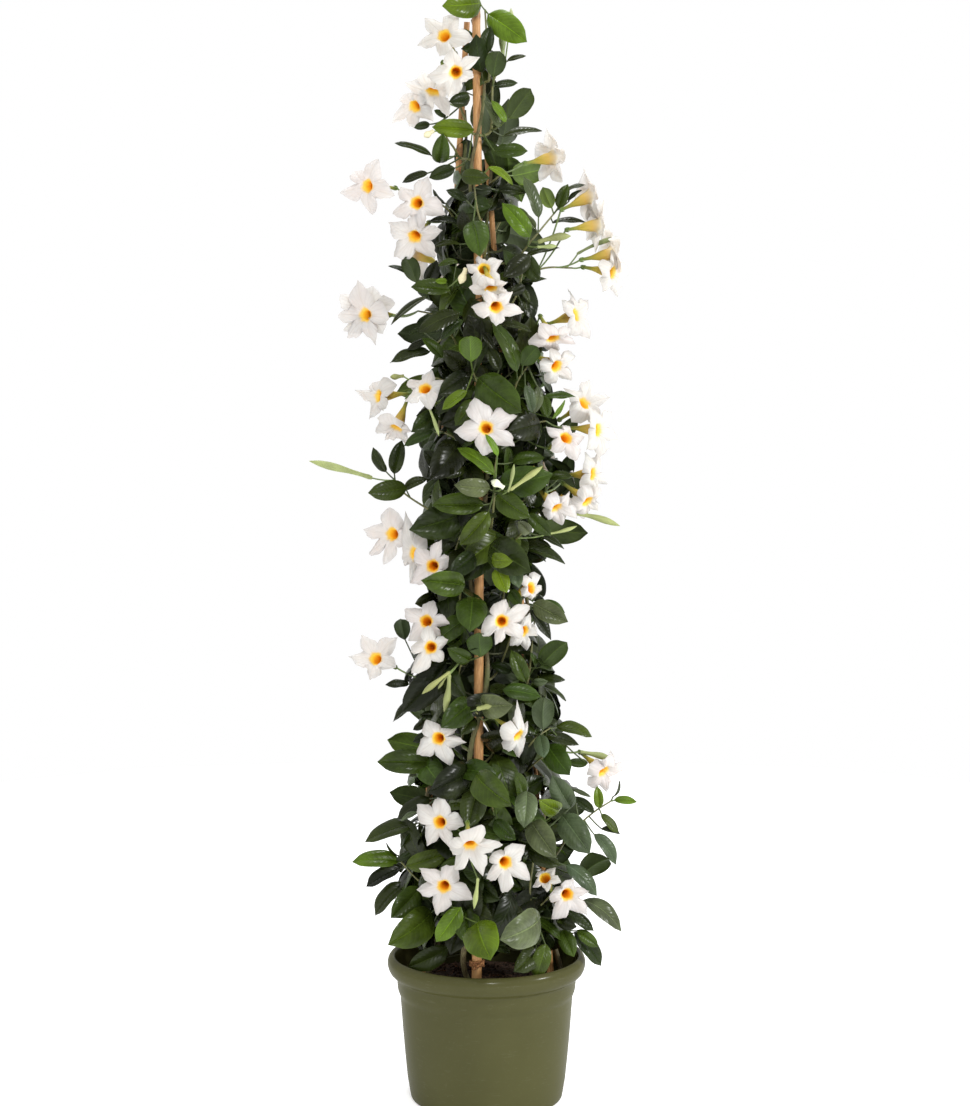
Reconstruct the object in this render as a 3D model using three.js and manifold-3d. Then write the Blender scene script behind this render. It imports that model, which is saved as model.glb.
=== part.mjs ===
// A mandevilla in a round nursery pot: twining stems on three bamboo canes, leafy shoots and trusses
// of white trumpet flowers. Millimetres, +Z up, the origin at the middle of the pot's flat base, the
// front of the plant towards -Y.

import * as THREE from "three";
import { mergeVertices } from "three/addons/utils/BufferGeometryUtils.js";
import Module from "manifold-3d";

const wasm = await Module();
wasm.setup();

// Driving dimensions.
const POT_RIM_RADIUS = 110;
const POT_HEIGHT = 163.5;
const POT_BASE_RADIUS = 81;
const POT_FLOOR = 2.5;
const POT_SIDES = 32;
const DRAIN_RADIUS = 5;
const DRAIN_CIRCLE = 52;
const DRAIN_COUNT = 6;
const DRAIN_SIDES = 8;
const SOIL_LEVEL = 128;
const SOIL_MOUND = 4;
const SOIL_EDGE = 3;
const GAP = 0.3;

const CANE_DEPTH = 60;
const CANE_STEPS = 8;
const CANE_SIDES = 8;
const TIE_HEIGHT = 44;
const TIE_THICKNESS = 2.2;

const VINE_FOOT_RADIUS = 3.4;
const VINE_TIP_RADIUS = 1.7;
const VINE_CLEARANCE = 1.4;
const VINE_ROOT_DEPTH = 20;
const VINE_SIDES = 5;
const VINE_STEPS_PER_TURN = 8;

const TWIG_RADIUS = 1.5;
const TWIG_TIP_RADIUS = 0.9;
const TWIG_SIDES = 4;
const TWIG_SHOULDER = 4;
const PERCH_SPACING = 7;
const PERCH_TRIES = 90;
const PEDICEL_RADIUS = 0.9;
const LEAVING_TRIES = 9;
const SLIVER = 0.2;

const LEAF_SHAPE = 0.5;
const LEAF_THICKNESS = 1.1;
const WIDEST_SHARE = 0.48;
const BUD_LEAST_RADIUS = 1.3;

const FLOWER_REACH = 32;
const TRUMPET_LENGTH = 36;
const TRUMPET_NECK = 1.1;
const MOUTH_RADIUS = 7;
const MOUTH_BACK = 5;
const THROAT_RADIUS = 4.6;
const THROAT_BACK = 0.5;
const THROAT_DEPTH = 8;
const NOTCH_SHARE = 0.27;

const BACK_PAIRS = 5;

// The pot's outside from the base up over the rolled lip, then its inside, as [radius, height].
const POT_OUTSIDE = [
  [POT_BASE_RADIUS, 0],
  [84.5, 3],
  [90.6, 50],
  [95.8, 117],
  [98.9, 126.5],
  [99.8, 138],
  [106.5, 143.5],
  [POT_RIM_RADIUS, 154],
  [109, 160],
  [104.5, POT_HEIGHT],
];
const POT_INSIDE = [
  [101, 161],
  [98.4, 138],
  [93.4, 114],
  [82, POT_FLOOR],
];

// The photograph's frame in pixels, and the camera that took it: every place below that is given in
// pixels is carried back through this camera to the plant.
const PHOTO_CENTRE_X = 485;
const PHOTO_CENTRE_Y = 553;
const FOCAL_PIXELS = 2958;
const CAMERA_X = -1.7;
const CAMERA_DISTANCE = 3200;
const CAMERA_HEIGHT = 1030;
const CAMERA_PITCH = THREE.MathUtils.degToRad(7.45);
const MM_PER_PIXEL = 1.11;

// Radius of the column of leaves at each height, as [height, radius].
const COLUMN = [
  [140, 100],
  [190, 115],
  [300, 115],
  [370, 105],
  [430, 95],
  [520, 95],
  [600, 105],
  [820, 105],
  [965, 95],
  [1035, 85],
  [1100, 75],
  [1190, 55],
];

const COLOURS = {
  pot: "#5d5d42",
  soil: "#2a2018",
  cane: "#a8733c",
  tie: "#5a3a20",
  vine: "#5f6b35",
  petal: "#efe9e6",
};

// The tones of leaves and buds, from the darkest leaf to the cream of an opening bud.
const TONES = ["#16220f", "#24371a", "#33521f", "#5c8a2a", "#8fae4e", "#d8d6a0"];
const [black, dark, deep, bright, pale, cream] = [0, 1, 2, 3, 4, 5];

// The point that the photograph shows at a pixel, on the upright plane at a depth along +Y.
function onPlane(px, py, depth) {
  const right = (px - PHOTO_CENTRE_X) / FOCAL_PIXELS;
  const up = (PHOTO_CENTRE_Y - py) / FOCAL_PIXELS;
  const forward = Math.cos(CAMERA_PITCH) + up * Math.sin(CAMERA_PITCH);
  const climb = up * Math.cos(CAMERA_PITCH) - Math.sin(CAMERA_PITCH);
  const far = (depth + CAMERA_DISTANCE) / forward;
  return new THREE.Vector3(CAMERA_X + far * right, depth, CAMERA_HEIGHT + far * climb);
}

function columnRadius(height) {
  const above = COLUMN.findIndex(([level]) => level > height);
  if (above === 0) return COLUMN[0][1];
  if (above < 0) return COLUMN[COLUMN.length - 1][1];
  const [lowLevel, lowRadius] = COLUMN[above - 1];
  const [highLevel, highRadius] = COLUMN[above];
  const share = (height - lowLevel) / (highLevel - lowLevel);
  return lowRadius + share * (highRadius - lowRadius);
}

// A pixel's point in the column: front 1 is the column's near surface and 0 the plane of its axis.
function spot(px, py, front) {
  const flat = onPlane(px, py, 0);
  const reach = columnRadius(flat.z);
  const span = Math.sqrt(Math.max(reach ** 2 - flat.x ** 2, (0.3 * reach) ** 2));
  return onPlane(px, py, -front * span);
}

// A leaf given by its base and tip as seen. Where it looks shorter than its width allows, its tip
// leans towards the viewer, and where it looks narrower, the blade rolls about its midrib.
function leaf(baseX, baseY, tipX, tipY, widthSeen, front, tone) {
  const base = spot(baseX, baseY, front);
  const seenLength = onPlane(tipX, tipY, base.y).distanceTo(base);
  const seenWidth = widthSeen * MM_PER_PIXEL;
  const length = Math.max(seenLength, Math.min(seenWidth / LEAF_SHAPE, 1.6 * seenLength));
  const lean = Math.sqrt(length ** 2 - seenLength ** 2);
  const tip = onPlane(tipX, tipY, base.y - lean);
  const width = Math.max(seenWidth, 0.9 * LEAF_SHAPE * seenLength);
  const roll = Math.acos(Math.min(1, seenWidth / width));
  const run = tip.clone().sub(base).normalize();
  const flat = new THREE.Vector3().crossVectors(run, new THREE.Vector3(0, -1, 0)).normalize();
  const outward = new THREE.Vector3(base.x, base.y, 0).normalize().add(new THREE.Vector3(0, 0, 1));
  const [one, other] = [roll, -roll].map((angle) => flat.clone().applyAxisAngle(run, angle));
  const facing = (across) => Math.abs(new THREE.Vector3().crossVectors(across, run).dot(outward));
  const across = facing(one) >= facing(other) ? one : other;
  return { kind: "leaf", base, tip, across, halfWidth: width / 2, tone };
}

function bud(baseX, baseY, tipX, tipY, widthSeen, front, tone) {
  const base = spot(baseX, baseY, front);
  const tip = onPlane(tipX, tipY, base.y);
  return { kind: "bud", base, tip, halfWidth: (widthSeen * MM_PER_PIXEL) / 2, tone };
}

// A flower faces front, turned right and tilted up by angles in degrees. Its lobe tips are the
// pixels they show at, or one angle that sets all five evenly.
function flower(px, py, front, turn, tilt, tips) {
  return bloom(spot(px, py, front), turn, tilt, tips);
}

function bloom(centre, turn, tilt, tips) {
  const side = THREE.MathUtils.degToRad(turn);
  const lift = THREE.MathUtils.degToRad(tilt);
  const normal = new THREE.Vector3(
    Math.sin(side) * Math.cos(lift),
    -Math.cos(side) * Math.cos(lift),
    Math.sin(lift),
  );
  const lobes = Array.isArray(tips) ? lobesSeen(centre, normal, tips) : lobesSpun(centre, normal, tips);
  return { kind: "flower", centre, normal, tips: lobes };
}

function lobesSeen(centre, normal, tips) {
  return tips.map(([px, py]) => {
    const flat = onPlane(px, py, centre.y).sub(centre);
    const most = Math.sqrt(Math.max(0, FLOWER_REACH ** 2 - flat.lengthSq()));
    const steep = -(flat.x * normal.x + flat.z * normal.z) / Math.min(normal.y, -0.05);
    return onPlane(px, py, centre.y + THREE.MathUtils.clamp(steep, -most, most));
  });
}

function lobesSpun(centre, normal, spin) {
  const right = new THREE.Vector3().crossVectors(new THREE.Vector3(0, 0, 1), normal).normalize();
  const up = new THREE.Vector3().crossVectors(normal, right);
  return [0, 1, 2, 3, 4].map((i) => {
    const angle = THREE.MathUtils.degToRad(spin + 72 * i);
    const out = right.clone().multiplyScalar(Math.cos(angle)).addScaledVector(up, Math.sin(angle));
    return centre.clone().addScaledVector(out, FLOWER_REACH);
  });
}

// The words of the layout, read off the photograph: a stalk's points, then what grows on it.
const at = spot;
const shoot = (name, stalk, items) => ({ name, stalk, items, colour: meanTone(items) });
const truss = (name, stalk, items) => ({ name, stalk, items, colour: COLOURS.petal });

function meanTone(items) {
  const mean = new THREE.Color(0, 0, 0);
  for (const item of items) mean.add(new THREE.Color(TONES[item.tone]).multiplyScalar(1 / items.length));
  return mean;
}

const trusses = [
  truss("top_truss", [at(461, 108, 0.2), at(458, 84, 0.5), at(452, 62, 0.6)], [
    flower(444.5, 36, 1.0, -20, 15, [[425, 18], [417, 45], [440, 56], [474, 40], [458, 14]]),
    flower(456, 72, 1.25, 0, -5, [[427, 77], [452, 48], [480, 57], [474, 77], [448, 98]]),
    flower(433, 91, 0.7, -20, -60, [[404, 82], [421, 73], [450, 84], [449, 117], [420, 112]]),
    flower(415, 106, 0.6, -35, -25, [[407, 93], [391, 124], [408, 128], [434, 122], [421, 84]]),
  ]),
  truss("right_top_truss", [at(492, 182, 0.3), at(503, 173, 0.4)], [
    flower(552, 158, 0.4, 124, 6, 20),
  ]),
  truss("left_top_truss", [at(458, 222, 0.1), at(446, 208, 0.4), at(430, 198, 0.4)], [
    flower(368, 186, 0.6, -40, 0, [[377, 158], [354, 171], [340, 193], [371, 216], [394, 196]]),
    flower(417, 203, 1.0, -15, 10, [[427, 176], [400, 187], [392, 214], [418, 228], [445, 214]]),
    flower(415, 236, 0.8, -15, -25, [[388, 224], [393, 258], [435, 258], [441, 232], [420, 212]]),
  ]),
  truss("right_upper_truss", [at(518, 278, 0.1), at(545, 268, 0.2), at(572, 268, 0.1)], [
    flower(589, 197, 0.2, 112, 8, 10),
    flower(597, 225, 0.5, 110, -6, 40),
    flower(611, 254, 0.3, 112, 8, 0),
    flower(612, 272, 0.6, 65, -10, [[630, 275], [621, 298], [603, 292], [600, 266], [616, 250]]),
    bud(577, 254, 619, 237, 5, 0.2, bright),
  ]),
  truss("centre_truss", [at(490, 332, 0.35), at(486, 306, 0.65), at(479, 285, 0.75)], [
    flower(484, 269, 1.0, 10, 30, [[466, 264], [478, 254], [503, 260], [500, 284], [474, 288]]),
    flower(491, 288, 1.15, 15, -60, [[469, 290], [484, 277], [508, 282], [506, 297], [486, 301]]),
    flower(496, 307, 1.3, 10, -20, [[472, 308], [487, 290], [513, 291], [524, 313], [496, 326]]),
  ]),
  truss("left_middle_truss", [at(460, 325, 0.1), at(436, 315, 0.2), at(418, 311, 0.2)], [
    flower(366, 315, 0.7, -30, 5, [[356, 280], [338, 315], [347, 338], [374, 345], [390, 318]]),
    flower(372, 311, 0.4, -35, 15, [[337, 293], [343, 330], [383, 334], [394, 302], [374, 286]]),
  ]),
  truss("left_hanging_truss", [at(458, 388, 0.2), at(436, 378, 0.4), at(415, 382, 0.3)], [
    flower(379, 396, 0.3, -65, 5, [[354, 390], [372, 383], [394, 385], [386, 408], [369, 419]]),
    flower(397, 427, 0.6, -40, -60, [[375, 431], [384, 441], [407, 449], [412, 431], [390, 414]]),
    flower(425, 389, 0.9, -15, 45, [[405, 402], [410, 377], [431, 369], [447, 384], [430, 409]]),
    bud(404, 376, 390, 377, 6, 0.3, bright),
    bud(428, 406, 439, 436, 4, 1.0, bright),
  ]),
  truss("right_middle_truss", [at(503, 345, 0.2), at(518, 330, 0.4), at(534, 330, 0.4)], [
    flower(575, 315, 0.5, 70, 15, [[571, 288], [589, 300], [590, 339], [573, 335], [563, 300]]),
    flower(553, 338, 0.9, 30, -55, [[528, 341], [541, 326], [572, 329], [576, 345], [549, 353]]),
    flower(556, 366, 0.8, 40, -20, [[540, 362], [552, 350], [577, 357], [572, 381], [549, 385]]),
  ]),
  truss("right_low_truss", [at(512, 432, 0.2), at(530, 424, 0.4), at(546, 421, 0.4)], [
    flower(584, 404, 0.4, 50, 35, [[566, 386], [592, 378], [612, 396], [602, 420], [574, 420]]),
    flower(597, 430, 0.8, 65, 0, [[590, 404], [613, 412], [617, 440], [602, 458], [588, 450]]),
    flower(566, 438, 1.1, 25, 35, [[547, 425], [571, 424], [585, 436], [577, 460], [553, 450]]),
  ]),
  truss("right_hanging_truss", [at(508, 512, 0.2), at(528, 498, 0.4), at(546, 492, 0.4)], [
    flower(592, 474, 0.3, 65, -5, [[586, 453], [604, 459], [610, 484], [596, 494], [584, 488]]),
    flower(587, 501, 0.7, 50, -40, [[582, 486], [602, 494], [601, 514], [585, 520], [573, 505]]),
    flower(556, 507, 0.8, 55, -45, [[548, 495], [572, 494], [578, 520], [562, 526], [545, 515]]),
    bud(572, 513, 620, 526, 7, 0.2, bright),
    leaf(548, 479, 573, 477, 8, 0.3, deep),
  ]),
  truss("lower_left_truss", [at(474, 572, 0.1), at(458, 566, 0.2), at(446, 562, 0.3)], [
    flower(393, 534, 1.0, -25, 0, [[389, 507], [361, 530], [368, 555], [382, 566], [406, 546]]),
    flower(415, 554, 0.7, -45, 0, [[404, 512], [399, 560], [409, 584], [424, 572], [421, 534]]),
    flower(433, 566, 1.0, -10, 5, [[441, 540], [416, 548], [410, 583], [437, 588], [449, 556]]),
  ]),
  truss("lower_centre_truss", [at(497, 672, 0.2), at(507, 648, 0.4), at(514, 625, 0.4)], [
    flower(501.5, 621, 1.2, 0, 5, [[506, 599], [531, 606], [522, 640], [495, 645], [481, 636]]),
    flower(523, 631, 0.8, 35, -25, [[538, 636], [528, 652], [512, 648], [508, 626], [531, 614]]),
    flower(531, 588, 0.7, 55, 10, [[522, 577], [541, 576], [544, 590], [533, 600], [522, 596]]),
  ]),
  truss("low_left_truss", [at(476, 700, 0.1), at(456, 692, 0.2), at(438, 680, 0.2)], [
    flower(426.5, 621, 1.0, -10, 5, [[433, 600], [405, 608], [408, 641], [440, 638], [450, 624]]),
    flower(431, 647, 1.3, -5, 0, [[448, 640], [443, 662], [411, 674], [411, 647], [428, 626]]),
    flower(376, 659, 0.7, -20, 20, [[361, 635], [396, 637], [395, 667], [370, 680], [348, 656]]),
  ]),
  truss("low_centre_truss", [at(492, 755, 0.4), at(488, 728, 0.8), at(476, 712, 1.0)], [
    flower(438.5, 738, 1.1, -10, 0, [[425, 720], [457, 728], [466, 743], [450, 768], [416, 755]]),
    flower(518, 735, 1.0, 55, -35, [[519, 701], [530, 728], [519, 758], [505, 750], [503, 727]]),
  ]),
  truss("far_right_truss", [at(527, 770, 0.1), at(545, 756, 0.3), at(562, 751, 0.3)], [
    flower(603, 771, 0.5, 50, -35, [[588, 764], [612, 752], [624, 772], [606, 792], [589, 787]]),
    bud(580, 752, 612, 759, 7, 0.3, bright),
  ]),
  truss("base_truss", [at(477, 885, 0.3), at(468, 858, 0.7), at(463, 834, 0.8)], [
    flower(440, 822, 1.1, -10, 0, [[440, 794], [416, 805], [427, 846], [449, 848], [464, 826]]),
    flower(470, 844, 1.35, 5, -45, [[482, 826], [504, 849], [483, 877], [454, 871], [449, 850]]),
    flower(505, 862, 1.25, 10, 0, [[526, 846], [531, 881], [503, 894], [487, 879], [490, 856]]),
    flower(444, 886, 1.2, -5, 0, [[419, 869], [455, 866], [473, 901], [437, 916], [417, 890]]),
    bud(478, 878, 474, 909, 5, 1.2, bright),
  ]),
  truss("base_right_truss", [at(522, 918, 0.2), at(540, 906, 0.5), at(550, 896, 0.6)], [
    flower(567, 894, 1.1, 10, 0, [[589, 891], [587, 915], [552, 920], [549, 897], [574, 879]]),
    flower(545, 878, 0.8, -20, 35, [[532, 887], [538, 870], [556, 868], [561, 882], [547, 892]]),
  ]),
];

const shoots = [
  shoot("crown_shoot", [at(489, 80, 0.4), at(487, 42, 0.5), at(485, 10, 0.5)], [
    leaf(481, 3, 442, 6, 26, 0.3, bright),
    leaf(488, 14, 527, 42, 26, 0.5, bright),
    leaf(483, 55, 490, 26, 14, 0.6, dark),
    leaf(482, 48, 461, 49, 12, 0.3, dark),
    leaf(474, 38, 458, 30, 8, 0.1, deep),
  ]),
  shoot("top_right_shoot", [at(490, 132, 0.3), at(492, 105, 0.4), at(494, 80, 0.4), at(505, 62, 0.3)], [
    leaf(493, 77, 499, 51, 20, 0.6, deep),
    leaf(507, 61, 526, 56, 5, 0.3, dark),
    leaf(494, 86, 518, 83, 8, 0.4, dark),
    leaf(499, 128, 484, 100, 9, 0.8, pale),
    leaf(509, 119, 531, 89, 22, 0.5, deep),
    leaf(506, 122, 491, 100, 8, 0.9, bright),
    leaf(503, 137, 542, 131, 7, 0.2, dark),
    leaf(494, 152, 528, 151, 14, 0.5, deep),
    bud(503, 60, 502, 31, 7, 0.3, bright),
    bud(508, 40, 511, 8, 6, 0.2, pale),
  ]),
  shoot("top_left_shoot", [at(460, 158, 0.2), at(454, 148, 0.4), at(447, 138, 0.3), at(440, 122, 0.3)], [
    leaf(470, 97, 449, 102, 14, 0.4, dark),
    leaf(446, 117, 434, 110, 6, 0.3, dark),
    leaf(474, 130, 432, 127, 18, 0.7, bright),
    leaf(430, 124, 414, 128, 8, 0.2, dark),
    leaf(432, 156, 394, 143, 6, 0.2, dark),
    leaf(440, 163, 443, 133, 17, 0.6, deep),
    leaf(428, 173, 402, 183, 8, 0.2, dark),
    leaf(455, 168, 429, 178, 13, 0.6, dark),
    bud(434, 131, 424, 137, 7, 0.4, cream),
  ]),
  shoot("upper_front_shoot", [at(486, 240, 0.4), at(477, 208, 0.7), at(474, 182, 0.7)], [
    leaf(461, 176, 490, 178, 15, 1.0, deep),
    leaf(492, 190, 472, 190, 10, 0.6, black),
    leaf(467, 200, 446, 190, 9, 0.5, dark),
    leaf(446, 204, 433, 189, 4, 0.3, dark),
    leaf(488, 167, 513, 185, 7, 0.8, bright),
    leaf(498, 190, 526, 193, 10, 0.4, dark),
    leaf(473, 221, 480, 257, 24, 1.0, deep),
    leaf(465, 231, 462, 210, 13, 0.6, black),
    leaf(460, 225, 428, 222, 7, 0.4, black),
    leaf(460, 244, 431, 249, 5, 0.4, dark),
  ]),
  shoot("upper_right_shoot", [at(512, 262, 0.2), at(532, 240, 0.4), at(547, 222, 0.3), at(557, 210, 0.2)], [
    leaf(539, 218, 523, 176, 12, 0.6, pale),
    leaf(552, 208, 543, 187, 14, 0.4, bright),
    leaf(558, 208, 568, 184, 12, 0.3, deep),
    leaf(564, 192, 586, 185, 4, 0.1, dark),
    leaf(568, 202, 582, 190, 4, 0.1, dark),
    leaf(552, 223, 587, 223, 5, 0.1, dark),
    leaf(530, 237, 502, 203, 18, 0.9, bright),
    leaf(536, 228, 520, 213, 10, 0.6, pale),
    bud(538, 242, 571, 236, 8, 0.5, bright),
    bud(537, 247, 557, 246, 5, 0.5, bright),
  ]),
  shoot("middle_right_shoot", [at(500, 318, 0.4), at(516, 296, 0.6), at(524, 266, 0.6)], [
    leaf(530, 256, 503, 277, 18, 0.9, black),
    leaf(522, 255, 540, 281, 18, 0.7, dark),
    leaf(520, 283, 547, 279, 5, 0.3, dark),
    leaf(525, 286, 507, 295, 10, 0.7, black),
    leaf(519, 287, 530, 303, 6, 0.5, dark),
    leaf(526, 256, 560, 248, 6, 0.3, dark),
    leaf(502, 325, 532, 332, 6, 0.8, dark),
    leaf(520, 300, 527, 316, 8, 0.5, dark),
  ]),
  shoot("middle_left_shoot", [at(458, 303, 0.2), at(446, 290, 0.5), at(426, 288, 0.3)], [
    leaf(428, 297, 391, 325, 6, 0.2, dark),
    leaf(412, 276, 388, 266, 4, 0.1, dark),
    leaf(417, 283, 405, 257, 17, 0.4, dark),
    leaf(428, 283, 437, 260, 14, 0.6, black),
    leaf(450, 290, 411, 287, 15, 0.8, deep),
    leaf(458, 262, 438, 266, 6, 0.8, deep),
    leaf(447, 281, 435, 281, 6, 0.9, bright),
    bud(466, 268, 460, 284, 8, 1.0, cream),
  ]),
  shoot("centre_left_shoot", [at(460, 352, 0.2), at(450, 335, 0.5), at(434, 345, 0.4)], [
    leaf(460, 313, 418, 332, 16, 0.8, dark),
    leaf(424, 330, 408, 335, 5, 0.3, dark),
    leaf(430, 352, 390, 363, 10, 0.3, dark),
    leaf(428, 340, 407, 350, 7, 0.3, black),
    leaf(443, 358, 422, 338, 10, 0.6, deep),
    leaf(463, 320, 441, 340, 10, 0.7, dark),
    leaf(464, 368, 443, 350, 18, 0.6, black),
  ]),
  shoot("centre_front_shoot", [at(492, 408, 0.4), at(480, 388, 0.7), at(473, 372, 0.8)], [
    leaf(471, 362, 470, 336, 22, 1.0, bright),
    leaf(482, 332, 494, 350, 8, 0.7, black),
    leaf(500, 370, 486, 345, 12, 0.6, dark),
    leaf(478, 378, 522, 412, 34, 0.8, deep),
    leaf(470, 374, 438, 395, 20, 0.6, black),
    leaf(467, 391, 442, 410, 10, 1.0, bright),
    leaf(474, 400, 455, 426, 16, 0.8, deep),
    leaf(482, 405, 440, 425, 24, 0.5, black),
  ]),
  shoot("centre_right_shoot", [at(508, 405, 0.3), at(518, 380, 0.6), at(528, 366, 0.6)], [
    leaf(517, 372, 492, 322, 15, 0.9, deep),
    leaf(522, 366, 538, 347, 17, 0.8, deep),
    leaf(525, 385, 532, 413, 10, 1.0, pale),
    leaf(538, 386, 534, 414, 10, 1.0, pale),
    leaf(541, 400, 576, 397, 6, 0.5, deep),
    leaf(543, 396, 548, 418, 12, 0.6, deep),
    leaf(552, 419, 565, 400, 5, 0.7, bright),
  ]),
  shoot("left_spray_shoot", [at(466, 538, 0.3), at(432, 512, 0.4), at(403, 492, 0.3), at(395, 480, 0.2)], [
    leaf(407, 488, 368, 493, 20, 0.4, deep),
    leaf(394, 474, 402, 440, 15, 0.3, dark),
    leaf(386, 472, 373, 447, 11, 0.2, dark),
    leaf(404, 490, 428, 479, 9, 0.2, dark),
    bud(372, 478, 309, 461, 8, 0.1, bright),
  ]),
  shoot("left_middle_shoot", [at(474, 452, 0.2), at(452, 436, 0.5), at(438, 430, 0.4)], [
    leaf(437, 414, 411, 432, 18, 0.5, dark),
    leaf(433, 431, 404, 446, 10, 0.6, deep),
    leaf(458, 442, 430, 480, 30, 0.6, black),
    leaf(438, 410, 416, 416, 12, 0.3, black),
    leaf(442, 478, 422, 498, 8, 0.3, dark),
    leaf(462, 460, 436, 475, 22, 0.4, dark),
  ]),
  shoot("centre_shoot", [at(488, 535, 0.4), at(494, 500, 0.8), at(495, 470, 0.8), at(498, 450, 0.8)], [
    flower(486, 428, 1.2, -5, 5, [[474, 397], [517, 416], [514, 446], [482, 456], [454, 432]]),
    leaf(495, 475, 457, 448, 11, 1.1, bright),
    leaf(490, 488, 454, 485, 18, 1.1, pale),
    leaf(484, 505, 432, 505, 20, 0.8, deep),
    leaf(489, 512, 460, 545, 20, 1.0, deep),
    leaf(498, 456, 485, 434, 6, 1.35, bright),
    leaf(497, 494, 530, 518, 22, 0.9, deep),
    leaf(500, 486, 553, 474, 30, 0.6, deep),
    leaf(540, 425, 506, 433, 26, 0.5, black),
    leaf(512, 462, 545, 458, 12, 0.6, deep),
    bud(508, 492, 514, 464, 4, 1.1, bright),
    bud(510, 490, 543, 466, 6, 1.1, bright),
    bud(504, 488, 491, 481, 8, 1.1, cream),
  ]),
  shoot("right_middle_shoot", [at(505, 548, 0.3), at(520, 535, 0.5), at(531, 520, 0.5)], [
    leaf(528, 514, 551, 536, 14, 0.8, deep),
    leaf(530, 533, 518, 521, 12, 0.9, pale),
    leaf(523, 543, 551, 547, 7, 0.3, dark),
    leaf(538, 535, 564, 549, 5, 0.3, dark),
    leaf(524, 549, 565, 564, 8, 0.4, dark),
    leaf(526, 552, 546, 562, 3, 0.3, dark),
    bud(548, 534, 577, 526, 4, 0.4, bright),
  ]),
  shoot("lower_left_shoot", [at(462, 612, 0.4), at(460, 588, 0.7), at(454, 560, 0.6), at(460, 535, 0.5)], [
    leaf(465, 585, 421, 580, 25, 1.0, deep),
    leaf(475, 555, 449, 575, 20, 0.8, dark),
    leaf(472, 597, 469, 632, 30, 0.9, deep),
    leaf(436, 596, 415, 604, 14, 0.4, black),
    leaf(470, 510, 409, 530, 34, 0.5, dark),
    leaf(458, 538, 431, 551, 14, 0.6, black),
  ]),
  shoot("lower_centre_shoot", [at(500, 605, 0.3), at(503, 580, 0.6), at(498, 556, 0.6)], [
    leaf(492, 560, 513, 561, 15, 1.1, bright),
    leaf(497, 567, 507, 593, 16, 1.0, bright),
    leaf(490, 545, 531, 572, 34, 0.8, dark),
    leaf(512, 560, 519, 588, 16, 1.0, pale),
    leaf(490, 536, 507, 540, 10, 0.5, deep),
    leaf(510, 590, 521, 607, 12, 0.8, deep),
    leaf(500, 596, 484, 606, 8, 0.6, black),
  ]),
  shoot("lower_right_shoot", [at(512, 708, 0.3), at(527, 684, 0.5), at(532, 645, 0.4), at(536, 606, 0.4)], [
    leaf(541, 602, 565, 613, 8, 0.3, deep),
    leaf(533, 603, 568, 622, 20, 0.7, pale),
    leaf(530, 610, 551, 640, 10, 0.5, black),
    leaf(539, 668, 567, 642, 22, 0.5, deep),
    leaf(533, 680, 565, 680, 9, 0.4, dark),
    leaf(538, 685, 566, 701, 4, 0.3, dark),
    leaf(536, 667, 530, 652, 5, 0.6, deep),
    leaf(526, 682, 511, 650, 15, 0.8, deep),
    leaf(503, 690, 541, 697, 15, 0.8, deep),
    leaf(533, 682, 548, 681, 8, 0.7, pale),
    leaf(512, 672, 490, 664, 10, 0.3, dark),
  ]),
  shoot("low_left_shoot", [at(462, 745, 0.4), at(465, 712, 0.8), at(458, 680, 0.7), at(464, 655, 0.8)], [
    leaf(481, 657, 480, 633, 25, 0.9, deep),
    leaf(470, 661, 447, 648, 15, 0.9, deep),
    leaf(447, 662, 402, 712, 30, 0.6, black),
    leaf(434, 700, 393, 722, 8, 0.4, dark),
    leaf(405, 640, 401, 619, 16, 0.2, dark),
    leaf(409, 684, 385, 685, 7, 0.2, black),
    leaf(440, 716, 420, 715, 7, 0.3, black),
    leaf(428, 721, 413, 730, 8, 0.3, black),
    leaf(434, 735, 413, 742, 9, 0.3, black),
    leaf(472, 702, 441, 728, 26, 0.8, deep),
    leaf(473, 716, 461, 735, 16, 0.8, dark),
    leaf(482, 705, 513, 705, 25, 1.0, pale),
    leaf(484, 742, 510, 731, 22, 0.6, black),
    bud(450, 672, 422, 694, 6, 1.1, bright),
    bud(449, 674, 444, 712, 7, 1.1, bright),
    bud(447, 676, 438, 689, 3, 1.1, bright),
    bud(477, 709, 500, 703, 8, 1.2, bright),
  ]),
  shoot("low_right_shoot", [at(522, 756, 0.3), at(536, 738, 0.6), at(550, 728, 0.5)], [
    leaf(543, 730, 545, 697, 22, 0.9, pale),
    leaf(556, 727, 592, 737, 10, 0.3, deep),
    leaf(545, 735, 579, 745, 9, 0.4, dark),
    leaf(540, 735, 544, 758, 15, 0.9, pale),
    leaf(535, 727, 559, 722, 5, 0.4, dark),
    leaf(532, 733, 523, 765, 16, 0.5, black),
    leaf(548, 745, 570, 775, 24, 0.7, deep),
    leaf(588, 763, 567, 762, 9, 0.4, deep),
  ]),
  shoot("base_left_shoot", [at(466, 812, 0.2), at(448, 795, 0.4), at(436, 776, 0.4)], [
    leaf(434, 762, 377, 762, 23, 0.5, deep),
    leaf(427, 769, 409, 777, 6, 0.3, dark),
    leaf(470, 772, 428, 792, 34, 0.6, black),
    leaf(430, 798, 397, 819, 14, 0.3, black),
    leaf(417, 812, 401, 821, 4, 0.6, pale),
    leaf(415, 824, 365, 842, 13, 0.3, dark),
    leaf(412, 830, 401, 849, 4, 0.3, dark),
  ]),
  shoot("base_front_shoot", [at(490, 828, 0.4), at(492, 806, 0.8), at(482, 786, 0.9)], [
    leaf(480, 884, 500, 900, 20, 0.6, dark),
    leaf(488, 898, 490, 925, 14, 0.6, dark),
    leaf(476, 775, 512, 806, 30, 1.1, deep),
    leaf(478, 790, 468, 828, 26, 0.8, dark),
    leaf(494, 820, 516, 840, 16, 0.8, deep),
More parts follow.
